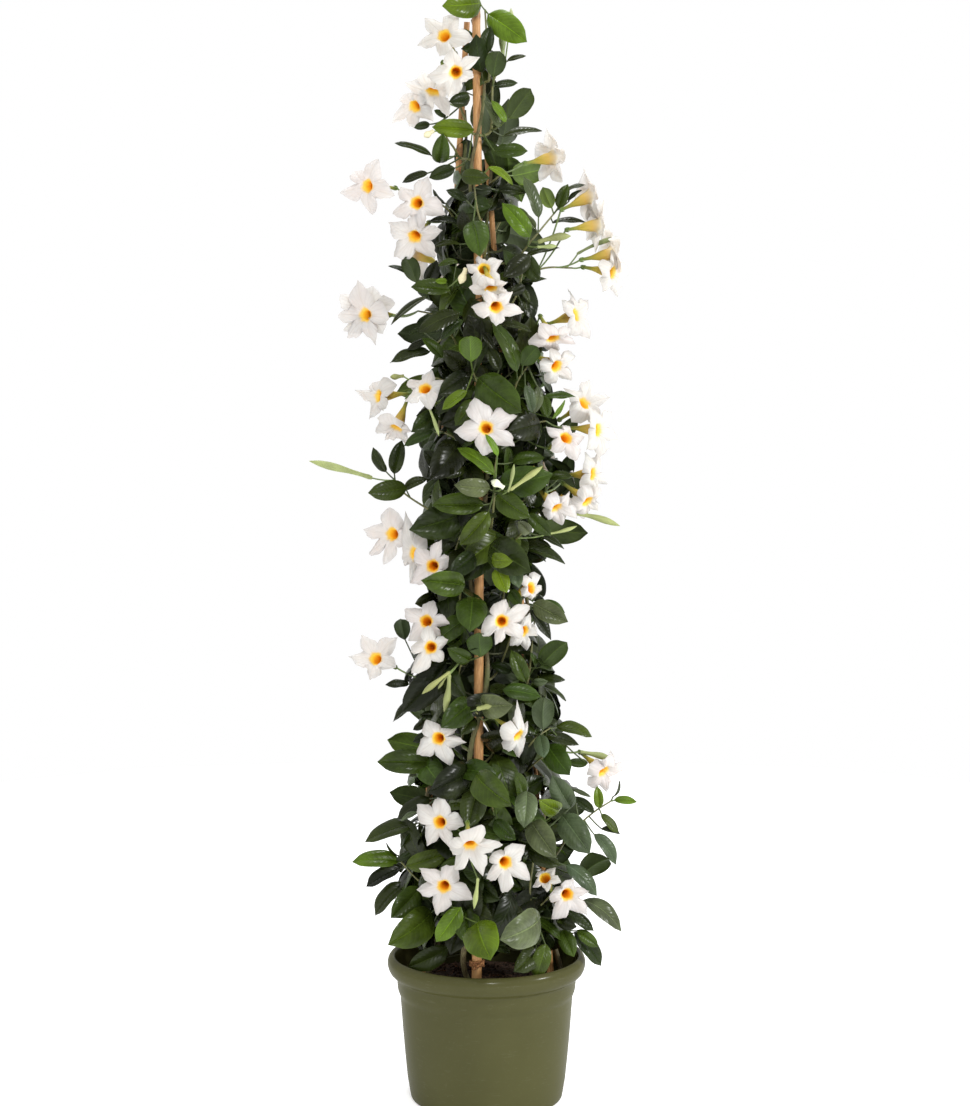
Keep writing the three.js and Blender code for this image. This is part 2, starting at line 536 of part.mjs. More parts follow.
    leaf(467, 775, 448, 800, 20, 0.6, black),
  ]),
  shoot("base_right_shoot", [at(540, 930, 0.3), at(530, 895, 0.5), at(534, 850, 0.6), at(530, 798, 0.7)], [
    leaf(527, 791, 524, 828, 22, 1.0, pale),
    leaf(531, 822, 556, 858, 26, 1.0, pale),
    leaf(528, 848, 560, 866, 20, 0.7, dark),
    leaf(560, 810, 539, 800, 18, 0.8, bright),
    leaf(571, 808, 552, 775, 22, 0.9, pale),
    leaf(540, 918, 500, 940, 36, 0.9, pale),
    leaf(546, 944, 536, 978, 18, 0.85, deep),
    leaf(536, 950, 514, 972, 22, 0.7, dark),
    leaf(583, 900, 621, 931, 14, 0.5, pale),
    leaf(563, 909, 594, 931, 10, 0.4, dark),
    leaf(574, 932, 601, 966, 16, 0.3, dark),
    leaf(577, 930, 598, 947, 12, 0.5, deep),
    leaf(562, 930, 574, 957, 17, 0.6, deep),
    leaf(556, 918, 577, 927, 14, 0.7, black),
    leaf(543, 932, 520, 950, 12, 0.6, dark),
    leaf(548, 890, 508, 915, 26, 0.4, black),
    leaf(566, 865, 597, 896, 14, 0.8, pale),
  ]),
  shoot("far_right_shoot", [at(550, 862, 0.1), at(572, 832, 0.4), at(594, 812, 0.2), at(611, 801, 0.1)], [
    leaf(562, 815, 590, 854, 28, 0.9, pale),
    leaf(594, 834, 616, 865, 12, 0.4, pale),
    leaf(580, 877, 609, 859, 24, 0.5, deep),
    leaf(601, 814, 619, 834, 8, 0.1, deep),
    leaf(614, 800, 637, 802, 7, 0.1, bright),
    leaf(613, 797, 619, 780, 3, 0.1, dark),
    leaf(599, 808, 597, 786, 10, 0.4, bright),
    leaf(601, 829, 620, 834, 5, 0.1, dark),
    leaf(594, 812, 571, 797, 9, 0.4, dark),
    leaf(572, 789, 591, 797, 3, 0.5, pale),
  ]),
  shoot("far_left_shoot", [at(468, 925, 0.2), at(448, 905, 0.5), at(418, 880, 0.4), at(401, 862, 0.3)], [
    leaf(400, 861, 352, 862, 14, 0.2, bright),
    leaf(406, 866, 448, 852, 20, 0.7, deep),
    leaf(402, 867, 366, 887, 12, 0.3, black),
    leaf(406, 883, 375, 916, 14, 0.2, dark),
    leaf(399, 856, 386, 842, 3, 0.2, dark),
    leaf(412, 853, 396, 860, 8, 0.3, dark),
    leaf(420, 888, 391, 918, 24, 0.4, deep),
    leaf(432, 912, 388, 945, 34, 0.5, deep),
    leaf(461, 907, 436, 942, 20, 0.9, bright),
    leaf(430, 931, 424, 950, 4, 0.5, pale),
    leaf(448, 948, 408, 967, 22, 0.5, dark),
    leaf(466, 905, 470, 946, 26, 0.7, deep),
    leaf(478, 922, 491, 960, 36, 1.1, bright),
    leaf(462, 912, 450, 955, 28, 0.5, black),
  ]),
];

// The far side of the plant: its shoots and trusses follow one rule, as [azimuth, height].
const BACK_SHOOTS = [
  [50, 240],
  [130, 310],
  [85, 450],
  [40, 620],
  [125, 780],
  [75, 950],
];
const BACK_TRUSSES = [
  [95, 350],
  [60, 690],
  [110, 900],
];

const scatter = (seed) => {
  const high = Math.sin(seed * 12.9898) * 43758.5453;
  return high - Math.floor(high);
};

function around(azimuth, radius, height) {
  const angle = THREE.MathUtils.degToRad(azimuth);
  return new THREE.Vector3(radius * Math.cos(angle), radius * Math.sin(angle), height);
}

// Leaves in pairs up the twig, each pair turned a quarter from the one below.
function backShoot([azimuth, height], order) {
  const reach = columnRadius(height);
  const stalk = [
    around(azimuth, 0.4 * reach, height - 40),
    around(azimuth + 8, 0.62 * reach, height),
    around(azimuth - 6, 0.72 * reach, height + 48),
    around(azimuth + 4, 0.78 * reach, height + 96),
  ];
  const curve = new THREE.CatmullRomCurve3(stalk, false, "centripetal");
  const outward = around(azimuth, 1, 0);
  const sideways = around(azimuth + 90, 1, 0);
  const upward = new THREE.Vector3(0, 0, 1);
  const items = [];
  for (let pair = 0; pair < BACK_PAIRS; pair++) {
    for (const side of [-1, 1]) {
      const seed = 100 * order + 10 * pair + side + 2;
      const run = outward.clone().multiplyScalar(0.5 + 0.5 * scatter(seed));
      const [apart, skew] = pair % 2 ? [sideways, upward] : [upward, sideways];
      run.addScaledVector(apart, 0.9 * side).addScaledVector(skew, 0.8 * (scatter(seed + 0.5) - 0.6));
      run.normalize();
      const base = curve.getPointAt((pair + 1) / BACK_PAIRS).addScaledVector(run, 7);
      const length = 48 + 18 * scatter(seed + 0.3);
      const across = new THREE.Vector3().crossVectors(run, outward).normalize();
      const tone = [deep, dark, bright, deep][Math.floor(4 * scatter(seed + 0.7))];
      const tip = base.clone().addScaledVector(run, length);
      items.push({ kind: "leaf", base, tip, across, halfWidth: 0.25 * length, tone });
    }
  }
  return shoot("back_shoot_" + (order + 1), stalk, items);
}

function backTruss([azimuth, height], order) {
  const reach = columnRadius(height);
  const stalk = [around(azimuth, 0.4 * reach, height - 50), around(azimuth, 0.6 * reach, height - 10)];
  const blooms = [-1, 0, 1].map((side) => {
    const seed = 500 + 10 * order + side;
    const radius = reach * (1 + 0.1 * scatter(seed));
    const centre = around(azimuth + 24 * side, radius, height + 26 * side + 8);
    const tilt = 30 * scatter(seed + 0.4) - 15;
    return bloom(centre, azimuth + 90 + 30 * side, tilt, 72 * scatter(seed + 0.8));
  });
  return truss("back_truss_" + (order + 1), stalk, blooms);
}

const sprays = [...trusses, ...BACK_TRUSSES.map(backTruss), ...shoots, ...BACK_SHOOTS.map(backShoot)];

// A closed surface from its corners and faces.
function polyhedron(corners, faces) {
  const geometry = new THREE.BufferGeometry();
  const places = new Float32Array(corners.flatMap((corner) => corner.toArray()));
  geometry.setAttribute("position", new THREE.BufferAttribute(places, 3));
  geometry.setIndex(faces.flat());
  return geometry;
}

function solid(geometry) {
  const bare = new THREE.BufferGeometry();
  bare.setAttribute("position", geometry.getAttribute("position"));
  bare.setIndex(geometry.getIndex());
  const merged = mergeVertices(bare, 1e-3);
  return new wasm.Manifold(
    new wasm.Mesh({
      numProp: 3,
      vertProperties: new Float32Array(merged.getAttribute("position").array),
      triVerts: new Uint32Array(merged.getIndex().array),
    }),
  );
}

function geometryOf(body) {
  const mesh = body.getMesh();
  const geometry = new THREE.BufferGeometry();
  const places = new Float32Array(mesh.numVert * 3);
  for (let i = 0; i < mesh.numVert; i++) {
    places.set(mesh.vertProperties.subarray(i * mesh.numProp, i * mesh.numProp + 3), i * 3);
  }
  geometry.setAttribute("position", new THREE.BufferAttribute(places, 3));
  geometry.setIndex(new THREE.BufferAttribute(new Uint32Array(mesh.triVerts), 1));
  geometry.computeVertexNormals();
  return geometry;
}

// A round limb along points, tapering from its foot to its tip, closed by a flat end at each.
function limb(points, footRadius, tipRadius, sides, steps) {
  const curve = new THREE.CatmullRomCurve3(points, false, "centripetal");
  const frames = curve.computeFrenetFrames(steps, false);
  const corners = [];
  const faces = [];
  for (let step = 0; step <= steps; step++) {
    const centre = curve.getPointAt(step / steps);
    const radius = THREE.MathUtils.lerp(footRadius, tipRadius, step / steps);
    for (let side = 0; side < sides; side++) {
      const angle = (2 * Math.PI * side) / sides;
      corners.push(
        centre
          .clone()
          .addScaledVector(frames.normals[step], radius * Math.cos(angle))
          .addScaledVector(frames.binormals[step], radius * Math.sin(angle)),
      );
    }
  }
  for (let step = 0; step < steps; step++) {
    for (let side = 0; side < sides; side++) {
      const next = (side + 1) % sides;
      const low = step * sides;
      const high = low + sides;
      faces.push([low + side, low + next, high + next], [low + side, high + next, high + side]);
    }
  }
  const last = steps * sides;
  for (let side = 1; side < sides - 1; side++) {
    faces.push([0, side + 1, side], [last, last + side, last + side + 1]);
  }
  return polyhedron(corners, faces);
}

function turned(profile, sides) {
  const outline = profile.map(([radius, height]) => new THREE.Vector2(radius, height));
  const lathe = new THREE.LatheGeometry(outline, sides);
  lathe.rotateX(Math.PI / 2);
  return solid(lathe);
}

function pot() {
  const shell = turned([[0, 0], ...POT_OUTSIDE, ...POT_INSIDE, [0, POT_FLOOR]], POT_SIDES);
  const holes = [];
  for (let i = 0; i < DRAIN_COUNT; i++) {
    const hole = new THREE.CylinderGeometry(DRAIN_RADIUS, DRAIN_RADIUS, 4 * POT_FLOOR, DRAIN_SIDES);
    hole.rotateX(Math.PI / 2);
    hole.translate(DRAIN_CIRCLE, 0, 0);
    hole.rotateZ((2 * Math.PI * i) / DRAIN_COUNT);
    holes.push(solid(hole));
  }
  return shell.subtract(wasm.Manifold.union(holes));
}

// A cane is a tapering pole with a slight bow, given by its foot in the soil and its top.
class Cane {
  constructor(foot, top, bow, radii) {
    this.foot = foot;
    this.top = top;
    this.bow = bow;
    this.radii = radii;
  }

  shareAt(height) {
    return (height - this.foot.z) / (this.top.z - this.foot.z);
  }

  at(height) {
    const share = this.shareAt(height);
    const point = this.foot.clone().lerp(this.top, share);
    return point.addScaledVector(this.bow, 4 * share * (1 - share));
  }

  radiusAt(height) {
    return THREE.MathUtils.lerp(...this.radii, this.shareAt(height));
  }

  solid(extra) {
    const points = [];
    const low = this.foot.z - CANE_DEPTH - extra;
    for (let step = 0; step <= CANE_STEPS; step++) {
      points.push(this.at(THREE.MathUtils.lerp(low, this.top.z, step / CANE_STEPS)));
    }
    const [foot, tip] = [low, this.top.z].map((height) => this.radiusAt(height) + extra);
    return solid(limb(points, foot, tip, CANE_SIDES, CANE_STEPS));
  }
}

// A stem that twines up a cane and ends a little above the last height that it holds on to.
class Vine {
  constructor(cane, phase, turns, footHeight, tipHeight, lead) {
    this.points = [];
    const steps = Math.ceil(turns * VINE_STEPS_PER_TURN);
    for (let step = 0; step <= steps; step++) {
      const share = step / steps;
      const height = THREE.MathUtils.lerp(footHeight, tipHeight, share);
      const angle = phase + 2 * Math.PI * turns * share;
      const near = this.radiusAt(share) + cane.radiusAt(height) + VINE_CLEARANCE;
      const spread = near + lead * Math.max(0, 1 - 8 * share);
      this.points.push(
        cane
          .at(height)
          .add(new THREE.Vector3(Math.cos(angle) * spread, Math.sin(angle) * spread, 0)),
      );
    }
    this.curve = new THREE.CatmullRomCurve3(this.points, false, "centripetal");
    this.steps = steps;
  }

  radiusAt(share) {
    return THREE.MathUtils.lerp(VINE_FOOT_RADIUS, VINE_TIP_RADIUS, share);
  }

  solid(extra) {
    const [foot, tip] = [VINE_FOOT_RADIUS, VINE_TIP_RADIUS].map((radius) => radius + extra);
    const [lowest, ...others] = this.points;
    const start = lowest.clone().setZ(lowest.z - extra);
    return solid(limb([start, ...others], foot, tip, VINE_SIDES, this.steps));
  }
}

// The soil: a low mound that fills the pot, with a socket for each cane and stem.
function soil(sockets) {
  const [, , [shoulderRadius, shoulderHeight], [floorRadius, floorHeight]] = POT_INSIDE;
  const profile = [
    [0, floorHeight + GAP],
    [floorRadius - GAP, floorHeight + GAP],
    [shoulderRadius - 2 * GAP, shoulderHeight],
    [POT_INSIDE[1][0] - SOIL_EDGE, SOIL_LEVEL - 2],
    [0.92 * POT_INSIDE[1][0], SOIL_LEVEL],
    [0.4 * POT_INSIDE[1][0], SOIL_LEVEL + 0.7 * SOIL_MOUND],
    [0, SOIL_LEVEL + SOIL_MOUND],
  ];
  return turned(profile, POT_SIDES).subtract(wasm.Manifold.union(sockets));
}

// The binding round the foot of the front cane.
function tie(cane) {
  const centre = cane.at(SOIL_LEVEL + TIE_HEIGHT);
  const inner = cane.radiusAt(centre.z) + GAP;
  const ring = new THREE.TorusGeometry(inner + TIE_THICKNESS, TIE_THICKNESS, 6, 12);
  const rise = cane.at(centre.z + 1).sub(centre).normalize();
  ring.applyQuaternion(new THREE.Quaternion().setFromUnitVectors(new THREE.Vector3(0, 0, 1), rise));
  ring.translate(centre.x, centre.y, centre.z);
  return solid(ring);
}

// A closed skin over rings of points, from one end ring to the other or to a single last point.
function skin(rings) {
  const corners = rings.flat();
  const faces = [];
  const count = rings[0].length;
  let low = 0;
  for (let i = 1; i < rings.length; i++) {
    const high = low + count;
    const single = rings[i].length === 1;
    for (let side = 0; side < count; side++) {
      const next = (side + 1) % count;
      if (single) faces.push([low + next, low + side, high]);
      else faces.push([low + side, high + next, low + next], [low + side, high + side, high + next]);
    }
    low = high;
  }
  for (let side = 1; side < count - 1; side++) faces.push([0, side, side + 1]);
  return polyhedron(corners, faces);
}

// Four points round a centre, two along one axis and two along the other.
function diamond(centre, one, other) {
  return [
    centre.clone().add(one),
    centre.clone().add(other),
    centre.clone().sub(one),
    centre.clone().sub(other),
  ];
}

// A leaf or bud: a slim stalk from the twig to its base, then a blade or spindle to its tip.
function growth(from, base, tip, wide, high) {
  const run = tip.clone().sub(base).normalize();
  const bend = new THREE.Quaternion().setFromUnitVectors(run, base.clone().sub(from).normalize());
  const half = new THREE.Quaternion().slerp(bend, 0.5);
  const slim = [wide, high].map((axis) => axis.clone().setLength(PEDICEL_RADIUS));
  const turnedBy = (turn) => slim.map((axis) => axis.clone().applyQuaternion(turn));
  const middle = base.clone().lerp(tip, WIDEST_SHARE);
  return solid(
    skin([
      diamond(from, ...turnedBy(bend)),
      diamond(base, ...turnedBy(half)),
      diamond(middle, wide, high),
      [tip],
    ]),
  );
}

function leafSolid(from, { base, tip, across, halfWidth }) {
  const thick = new THREE.Vector3().crossVectors(across, tip.clone().sub(base)).setLength(LEAF_THICKNESS);
  return growth(from, base, tip, across.clone().multiplyScalar(halfWidth), thick);
}

function budSolid(from, { base, tip, halfWidth }) {
  const run = tip.clone().sub(base).normalize();
  const radius = Math.max(BUD_LEAST_RADIUS, halfWidth);
  const side = new THREE.Vector3().crossVectors(run, new THREE.Vector3(0.1, -1, 0.1)).setLength(radius);
  return growth(from, base, tip, side, new THREE.Vector3().crossVectors(side, run).setLength(radius));
}

// A flower: a narrow tube that widens to the throat, and five pointed lobes round the mouth.
function flowerSolid(from, { centre, normal, tips }) {
  const around = new THREE.Vector3().crossVectors(
    tips[0].clone().sub(centre),
    tips[1].clone().sub(centre),
  );
  const ordered = around.dot(normal) > 0 ? tips : [...tips].reverse();
  const heading = from.clone().sub(centre).normalize();
  const axis = normal.clone().multiplyScalar(-1).addScaledVector(heading, 0.5).normalize();
  const tail = centre.clone().addScaledVector(axis, TRUMPET_LENGTH);
  const ray = (i) => {
    const out = ordered[i].clone().sub(centre);
    return out.addScaledVector(axis, -out.dot(axis)).normalize();
  };
  const rays = [0, 1, 2, 3, 4].map(ray);
  const ring = (radius, back) =>
    rays.map((out) => centre.clone().addScaledVector(axis, back).addScaledVector(out, radius));
  const neck = ring(TRUMPET_NECK, TRUMPET_LENGTH);
  const bend = new THREE.Quaternion().setFromUnitVectors(axis, from.clone().sub(tail).normalize());
  const foot = neck.map((point) => point.clone().sub(tail).applyQuaternion(bend).add(from));
  const mouth = ring(MOUTH_RADIUS, MOUTH_BACK);
  const throat = ring(THROAT_RADIUS, THROAT_BACK);
  const notches = ordered.map((tip, i) =>
    tip.clone().add(ordered[(i + 1) % 5]).sub(centre).sub(centre).multiplyScalar(NOTCH_SHARE).add(centre),
  );
  const pit = centre.clone().addScaledVector(axis, THROAT_DEPTH);
  const corners = [...foot, ...neck, ...mouth, ...throat, ...ordered, ...notches, pit];
  const faces = [];
  for (let i = 0; i < 5; i++) {
    const next = (i + 1) % 5;
    const before = (i + 4) % 5;
    const [foot, neck, mouth, throat, tip, notch] = [0, 5, 10, 15, 20, 25];
    faces.push(
      [foot + i, foot + next, neck + next],
      [foot + i, neck + next, neck + i],
      [neck + i, neck + next, mouth + next],
      [neck + i, mouth + next, mouth + i],
      [mouth + i, mouth + next, notch + i],
      [mouth + i, notch + i, tip + i],
      [mouth + i, tip + i, notch + before],
      [throat + i, notch + i, throat + next],
      [throat + i, tip + i, notch + i],
      [throat + i, notch + before, tip + i],
      [throat + i, throat + next, 30],
    );
  }
  faces.push([0, 2, 1], [0, 3, 2], [0, 4, 3]);
  return solid(polyhedron(corners, faces));
}

// A join can leave a loose speck behind, so only the largest body is kept.
function wholeBody(body) {
  const parts = body.decompose();
  return parts.reduce((most, part) => (part.volume() > most.volume() ? part : most));
}

const place = new THREE.Group();
const built = [];

function add(name, body, color) {
  const material = new THREE.MeshStandardMaterial({ color, roughness: 0.6, metalness: 0 });
  const mesh = new THREE.Mesh(geometryOf(body), material);
  mesh.name = name;
  place.add(mesh);
  built.push({ name, body, box: body.boundingBox() });
}

function clashes(body) {
  const box = body.boundingBox();
  return built.some((other) => {
    const apart = [0, 1, 2].some(
      (axis) => box.min[axis] > other.box.max[axis] + GAP || box.max[axis] < other.box.min[axis] - GAP,
    );
    return !apart && body.minGap(other.body, GAP) < GAP / 2;
  });
}

// Every place along the stems where a twig could start, as a point on the stem's surface line.
function perchesOf(vines) {
  const perches = [];
  for (const vine of vines) {
    const count = Math.round(vine.curve.getLength() / PERCH_SPACING);
    for (let i = 3; i < count; i++) {
      const share = i / count;
      perches.push({
        point: vine.curve.getPointAt(share),
        tangent: vine.curve.getTangentAt(share),
        radius: vine.radiusAt(share),
      });
    }
  }
  return perches;
}

// A twig starts on the nearest stem that it can leave without running into anything, as close to
// the stem as leaves it a hair's gap.
function stalkFrom(perches, stalk) {
  const first = stalk[0];
  const cost = (perch) => perch.point.distanceTo(first) + 0.6 * Math.max(0, perch.point.z - first.z);
  const nearest = [...perches].sort((a, b) => cost(a) - cost(b)).slice(0, PERCH_TRIES);
  for (const perch of nearest) {
    const outward = first.clone().sub(perch.point);
    outward.addScaledVector(perch.tangent, -outward.dot(perch.tangent)).normalize();
    for (let seat = perch.radius - 2 * GAP; seat <= perch.radius + 2 * GAP; seat += GAP / 2) {
      const root = perch.point.clone().addScaledVector(outward, seat);
      const shoulder = root.clone().addScaledVector(outward, TWIG_SHOULDER);
      const points = [root, shoulder, ...stalk];
      const steps = points.length;
      const body = solid(limb(points, TWIG_RADIUS, TWIG_TIP_RADIUS, TWIG_SIDES, steps));
      const curve = new THREE.CatmullRomCurve3(points, false, "centripetal");
      if (!clashes(body)) return { body, centres: curve.getSpacedPoints(steps) };
    }
  }
  throw new Error("a twig has no free place on the stems");
}

// The places on a twig that a leaf, bud or flower could leave from: first those near its base and
// behind it.
function leavingPoints(centres, base, run) {
  const places = [];
  for (let i = 1; i < centres.length; i++) {
    for (const share of [0, 0.33, 0.67]) {
      const point = centres[i].clone().lerp(centres[i - 1], share);
      const reach = base.clone().sub(point);
      const length = Math.max(reach.length(), 1);
      places.push({ point, cost: length * (1.6 - reach.dot(run) / length) });
    }
  }
  return places.sort((a, b) => a.cost - b.cost).map((place) => place.point);
}

// What grows on a twig, from the first place that keeps it clear of everything built before it.
function grownSolid(item, centres) {
  const run = item.kind === "flower" ? item.normal : item.tip.clone().sub(item.base).normalize();
  const base = item.base ?? item.centre.clone().addScaledVector(run, -TRUMPET_LENGTH);
  const make = { leaf: leafSolid, bud: budSolid, flower: flowerSolid }[item.kind];
  for (const from of leavingPoints(centres, base, run).slice(0, LEAVING_TRIES)) {
    const piece = make(from, item);
    if (!clashes(piece)) return piece;
  }
  return null;
}

const onSoil = (x, y) => new THREE.Vector3(x, y, SOIL_LEVEL);
const bow = (x, y) => new THREE.Vector3(x, y, 0);
const canes = {
  front: new Cane(onSoil(-11, -76), spot(476, 4, 0.2), bow(3, 0), [5.6, 4.4]),
  left: new Cane(onSoil(-71, 30), spot(467, 22, -0.4), bow(-4, 4), [4.4, 3.2]),
  right: new Cane(onSoil(72, 28), spot(478, 33, -0.1), bow(-1, 4), [4.1, 2.9]),
};
const FOOT = SOIL_LEVEL - VINE_ROOT_DEPTH;
const vines = {
  front: new Vine(canes.front, 0.9, 5.2, FOOT, 1185, 10),
  left: new Vine(canes.left, 4.2, 4.5, FOOT, 1090, 12),
  right: new Vine(canes.right, 2.4, 5, FOOT, 1135, 12),
  inner: new Vine(canes.right, 5.54, 3.15, FOOT, 755, 5),
};

const rods = [...Object.values(canes), ...Object.values(vines)];
add("pot", pot(), COLOURS.pot);
add("soil", soil(rods.map((rod) => rod.solid(GAP))), COLOURS.soil);
for (const [side, cane] of Object.entries(canes)) add("cane_" + side, cane.solid(0), COLOURS.cane);
add("tie", tie(canes.front), COLOURS.tie);
for (const [side, vine] of Object.entries(vines)) add("stem_" + side, vine.solid(0), COLOURS.vine);

// The trusses come before the shoots, so that a leaf gives way to a flower that it would cut.
const perches = perchesOf(Object.values(vines));
for (const { name, stalk, items, colour } of sprays) {
  const twig = stalkFrom(perches, stalk);
  let body = twig.body;
  for (const item of items) {
    const piece = grownSolid(item, twig.centres);
    if (piece) body = wholeBody(body.add(piece));
  }
  add(name, wholeBody(body.asOriginal().simplify(SLIVER)), colour);
}

export default place;
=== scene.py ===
"""The look of a potted mandevilla: twining stems, glossy leaves and white trumpet flowers, built
round the frame of its solid model. Lengths are in millimetres until a mesh is made."""

import math

import bpy
import numpy as np
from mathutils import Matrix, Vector, noise


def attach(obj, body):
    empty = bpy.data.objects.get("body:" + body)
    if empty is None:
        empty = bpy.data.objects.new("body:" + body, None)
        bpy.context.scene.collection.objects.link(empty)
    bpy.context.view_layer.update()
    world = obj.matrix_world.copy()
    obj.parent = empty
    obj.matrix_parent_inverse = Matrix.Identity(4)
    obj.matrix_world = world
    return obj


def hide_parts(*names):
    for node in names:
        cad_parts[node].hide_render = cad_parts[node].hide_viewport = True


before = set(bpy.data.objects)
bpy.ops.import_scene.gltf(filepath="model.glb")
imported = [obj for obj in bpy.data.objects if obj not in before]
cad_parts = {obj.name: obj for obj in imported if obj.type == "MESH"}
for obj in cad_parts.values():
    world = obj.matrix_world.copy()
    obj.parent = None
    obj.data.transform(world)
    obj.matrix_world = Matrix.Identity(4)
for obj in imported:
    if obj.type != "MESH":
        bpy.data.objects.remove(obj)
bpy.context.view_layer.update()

MM = 0.001
POT_HEIGHT = 163.5
POT_FLOOR = 2.5
DRAIN_RADIUS = 5
DRAIN_CIRCLE = 52
DRAIN_COUNT = 6
SOIL_LEVEL = 128
SOIL_MOUND = 4
GAP = 0.3
CANE_DEPTH = 60
TIE_HEIGHT = 44
VINE_FOOT_RADIUS = 3.4
VINE_TIP_RADIUS = 1.7
VINE_CLEARANCE = 1.4
VINE_ROOT_DEPTH = 20
VINE_STEPS_PER_TURN = 8
TWIG_RADIUS = 1.5
TWIG_TIP_RADIUS = 0.9
TWIG_SHOULDER = 4
PERCH_SPACING = 7
PERCH_TRIES = 90
LEAF_SHAPE = 0.5
FLOWER_REACH = 32
TRUMPET_LENGTH = 36
BACK_PAIRS = 5

# The photograph's frame in pixels and the camera that took it.
PHOTO_WIDTH = 970
PHOTO_HEIGHT = 1106
FOCAL_PIXELS = 2958
CAMERA = (-1.7, -3200, 1030)
CAMERA_PITCH = math.radians(7.45)
SENSOR = 36
MM_PER_PIXEL = 1.11

# Radius of the column of leaves at each height, as height and radius.
COLUMN = [
    (140, 100),
    (190, 115),
    (300, 115),
    (370, 105),
    (430, 95),
    (520, 95),
    (600, 105),
    (820, 105),
    (965, 95),
    (1035, 85),
    (1100, 75),
    (1190, 55),
]

# The tones of leaves and buds, from the darkest leaf to the cream of an opening bud. A leaf's
# tone is partly its own green and mostly painted light and shade: black and dark are painted
# shade, bright is painted light, and pale is a grey painted sheen.
black, dark, deep, bright, pale, cream = range(6)
TONES = [
    (0.008, 0.011, 0.003),
    (0.015, 0.023, 0.004),
    (0.027, 0.046, 0.005),
    (0.066, 0.112, 0.006),
    (0.055, 0.075, 0.036),
    (0.520, 0.500, 0.300),
]
BUD_TONES = [
    (0.060, 0.090, 0.030),
    (0.090, 0.130, 0.040),
    (0.150, 0.210, 0.060),
    (0.260, 0.300, 0.110),
    (0.400, 0.430, 0.200),
    (0.680, 0.660, 0.460),
]
UP = np.array([0.0, 0.0, 1.0])


def unit(vector):
    return vector / max(np.linalg.norm(vector), 1e-9)


def turned(vector, axis, angle):
    """The vector turned about a unit axis."""
    swept = vector * math.cos(angle) + np.cross(axis, vector) * math.sin(angle)
    return swept + axis * np.dot(axis, vector) * (1 - math.cos(angle))


def on_plane(px, py, depth):
    """The point that the photograph shows at a pixel, on the upright plane at a depth along +Y."""
    right = (px - PHOTO_WIDTH / 2) / FOCAL_PIXELS
    up = (PHOTO_HEIGHT / 2 - py) / FOCAL_PIXELS
    forward = math.cos(CAMERA_PITCH) + up * math.sin(CAMERA_PITCH)
    climb = up * math.cos(CAMERA_PITCH) - math.sin(CAMERA_PITCH)
    far = (depth - CAMERA[1]) / forward
    return np.array([CAMERA[0] + far * right, depth, CAMERA[2] + far * climb])


def project(point):
    """The pixel of the photograph that shows a point, and its distance from the camera."""
    away = point - np.array(CAMERA)
    ahead = away[1] * math.cos(CAMERA_PITCH) - away[2] * math.sin(CAMERA_PITCH)
    climb = away[1] * math.sin(CAMERA_PITCH) + away[2] * math.cos(CAMERA_PITCH)
    x = PHOTO_WIDTH / 2 + FOCAL_PIXELS * away[0] / ahead
    return np.array([x, PHOTO_HEIGHT / 2 - FOCAL_PIXELS * climb / ahead, ahead])


def column_radius(height):
    return float(np.interp(height, *zip(*COLUMN)))


def spot(px, py, front):
    """A pixel's point in the column: front 1 is its near surface and 0 the plane of its axis."""
    flat = on_plane(px, py, 0)
    reach = column_radius(flat[2])
    span = math.sqrt(max(reach**2 - flat[0] ** 2, (0.3 * reach) ** 2))
    return on_plane(px, py, -front * span)


def leaf(base_x, base_y, tip_x, tip_y, width_seen, front, tone):
    """A leaf by its base and tip as seen. Where it looks shorter than its width allows, its tip
    leans towards the viewer, and where it looks narrower, the blade rolls about its midrib."""
    base = spot(base_x, base_y, front)
    seen_length = np.linalg.norm(on_plane(tip_x, tip_y, base[1]) - base)
    seen_width = width_seen * MM_PER_PIXEL
    length = max(seen_length, min(seen_width / LEAF_SHAPE, 1.6 * seen_length))
    tip = on_plane(tip_x, tip_y, base[1] - math.sqrt(length**2 - seen_length**2))
    width = max(seen_width, 0.9 * LEAF_SHAPE * seen_length)
    roll = math.acos(min(1, seen_width / width))
    run = unit(tip - base)
    flat = unit(np.cross(run, (0, -1, 0)))
    outward = unit(base * (1, 1, 0)) + UP
    sides = [turned(flat, run, angle) for angle in (roll, -roll)]
    across = max(sides, key=lambda side: abs(np.dot(np.cross(side, run), outward)))
    return dict(kind="leaf", base=base, tip=tip, across=across, half=width / 2, tone=tone)


def bud(base_x, base_y, tip_x, tip_y, width_seen, front, tone):
    base = spot(base_x, base_y, front)
    tip = on_plane(tip_x, tip_y, base[1])
    return dict(kind="bud", base=base, tip=tip, half=width_seen * MM_PER_PIXEL / 2, tone=tone)


def flower(px, py, front, turn, tilt, tips):
    """A flower faces front, turned right and tilted up by angles in degrees. Its lobe tips are the
    pixels they show at, or one angle that sets all five evenly."""
    return bloom(spot(px, py, front), turn, tilt, tips)


def bloom(centre, turn, tilt, tips):
    side, lift = math.radians(turn), math.radians(tilt)
    level = math.cos(lift)
    normal = np.array([math.sin(side) * level, -math.cos(side) * level, math.sin(lift)])
    lobes = lobes_seen if isinstance(tips, list) else lobes_spun
    return dict(kind="flower", centre=centre, normal=normal, tips=lobes(centre, normal, tips))


def lobes_seen(centre, normal, tips):
    found = []
    for px, py in tips:
        flat = on_plane(px, py, centre[1]) - centre
        most = math.sqrt(max(0, FLOWER_REACH**2 - np.dot(flat, flat)))
        steep = -(flat[0] * normal[0] + flat[2] * normal[2]) / min(normal[1], -0.05)
        found.append(on_plane(px, py, centre[1] + min(max(steep, -most), most)))
    return found


def lobes_spun(centre, normal, spin):
    right = unit(np.cross(UP, normal))
    up = np.cross(normal, right)
    angles = [math.radians(spin + 72 * i) for i in range(5)]
    return [centre + FLOWER_REACH * (right * math.cos(a) + up * math.sin(a)) for a in angles]


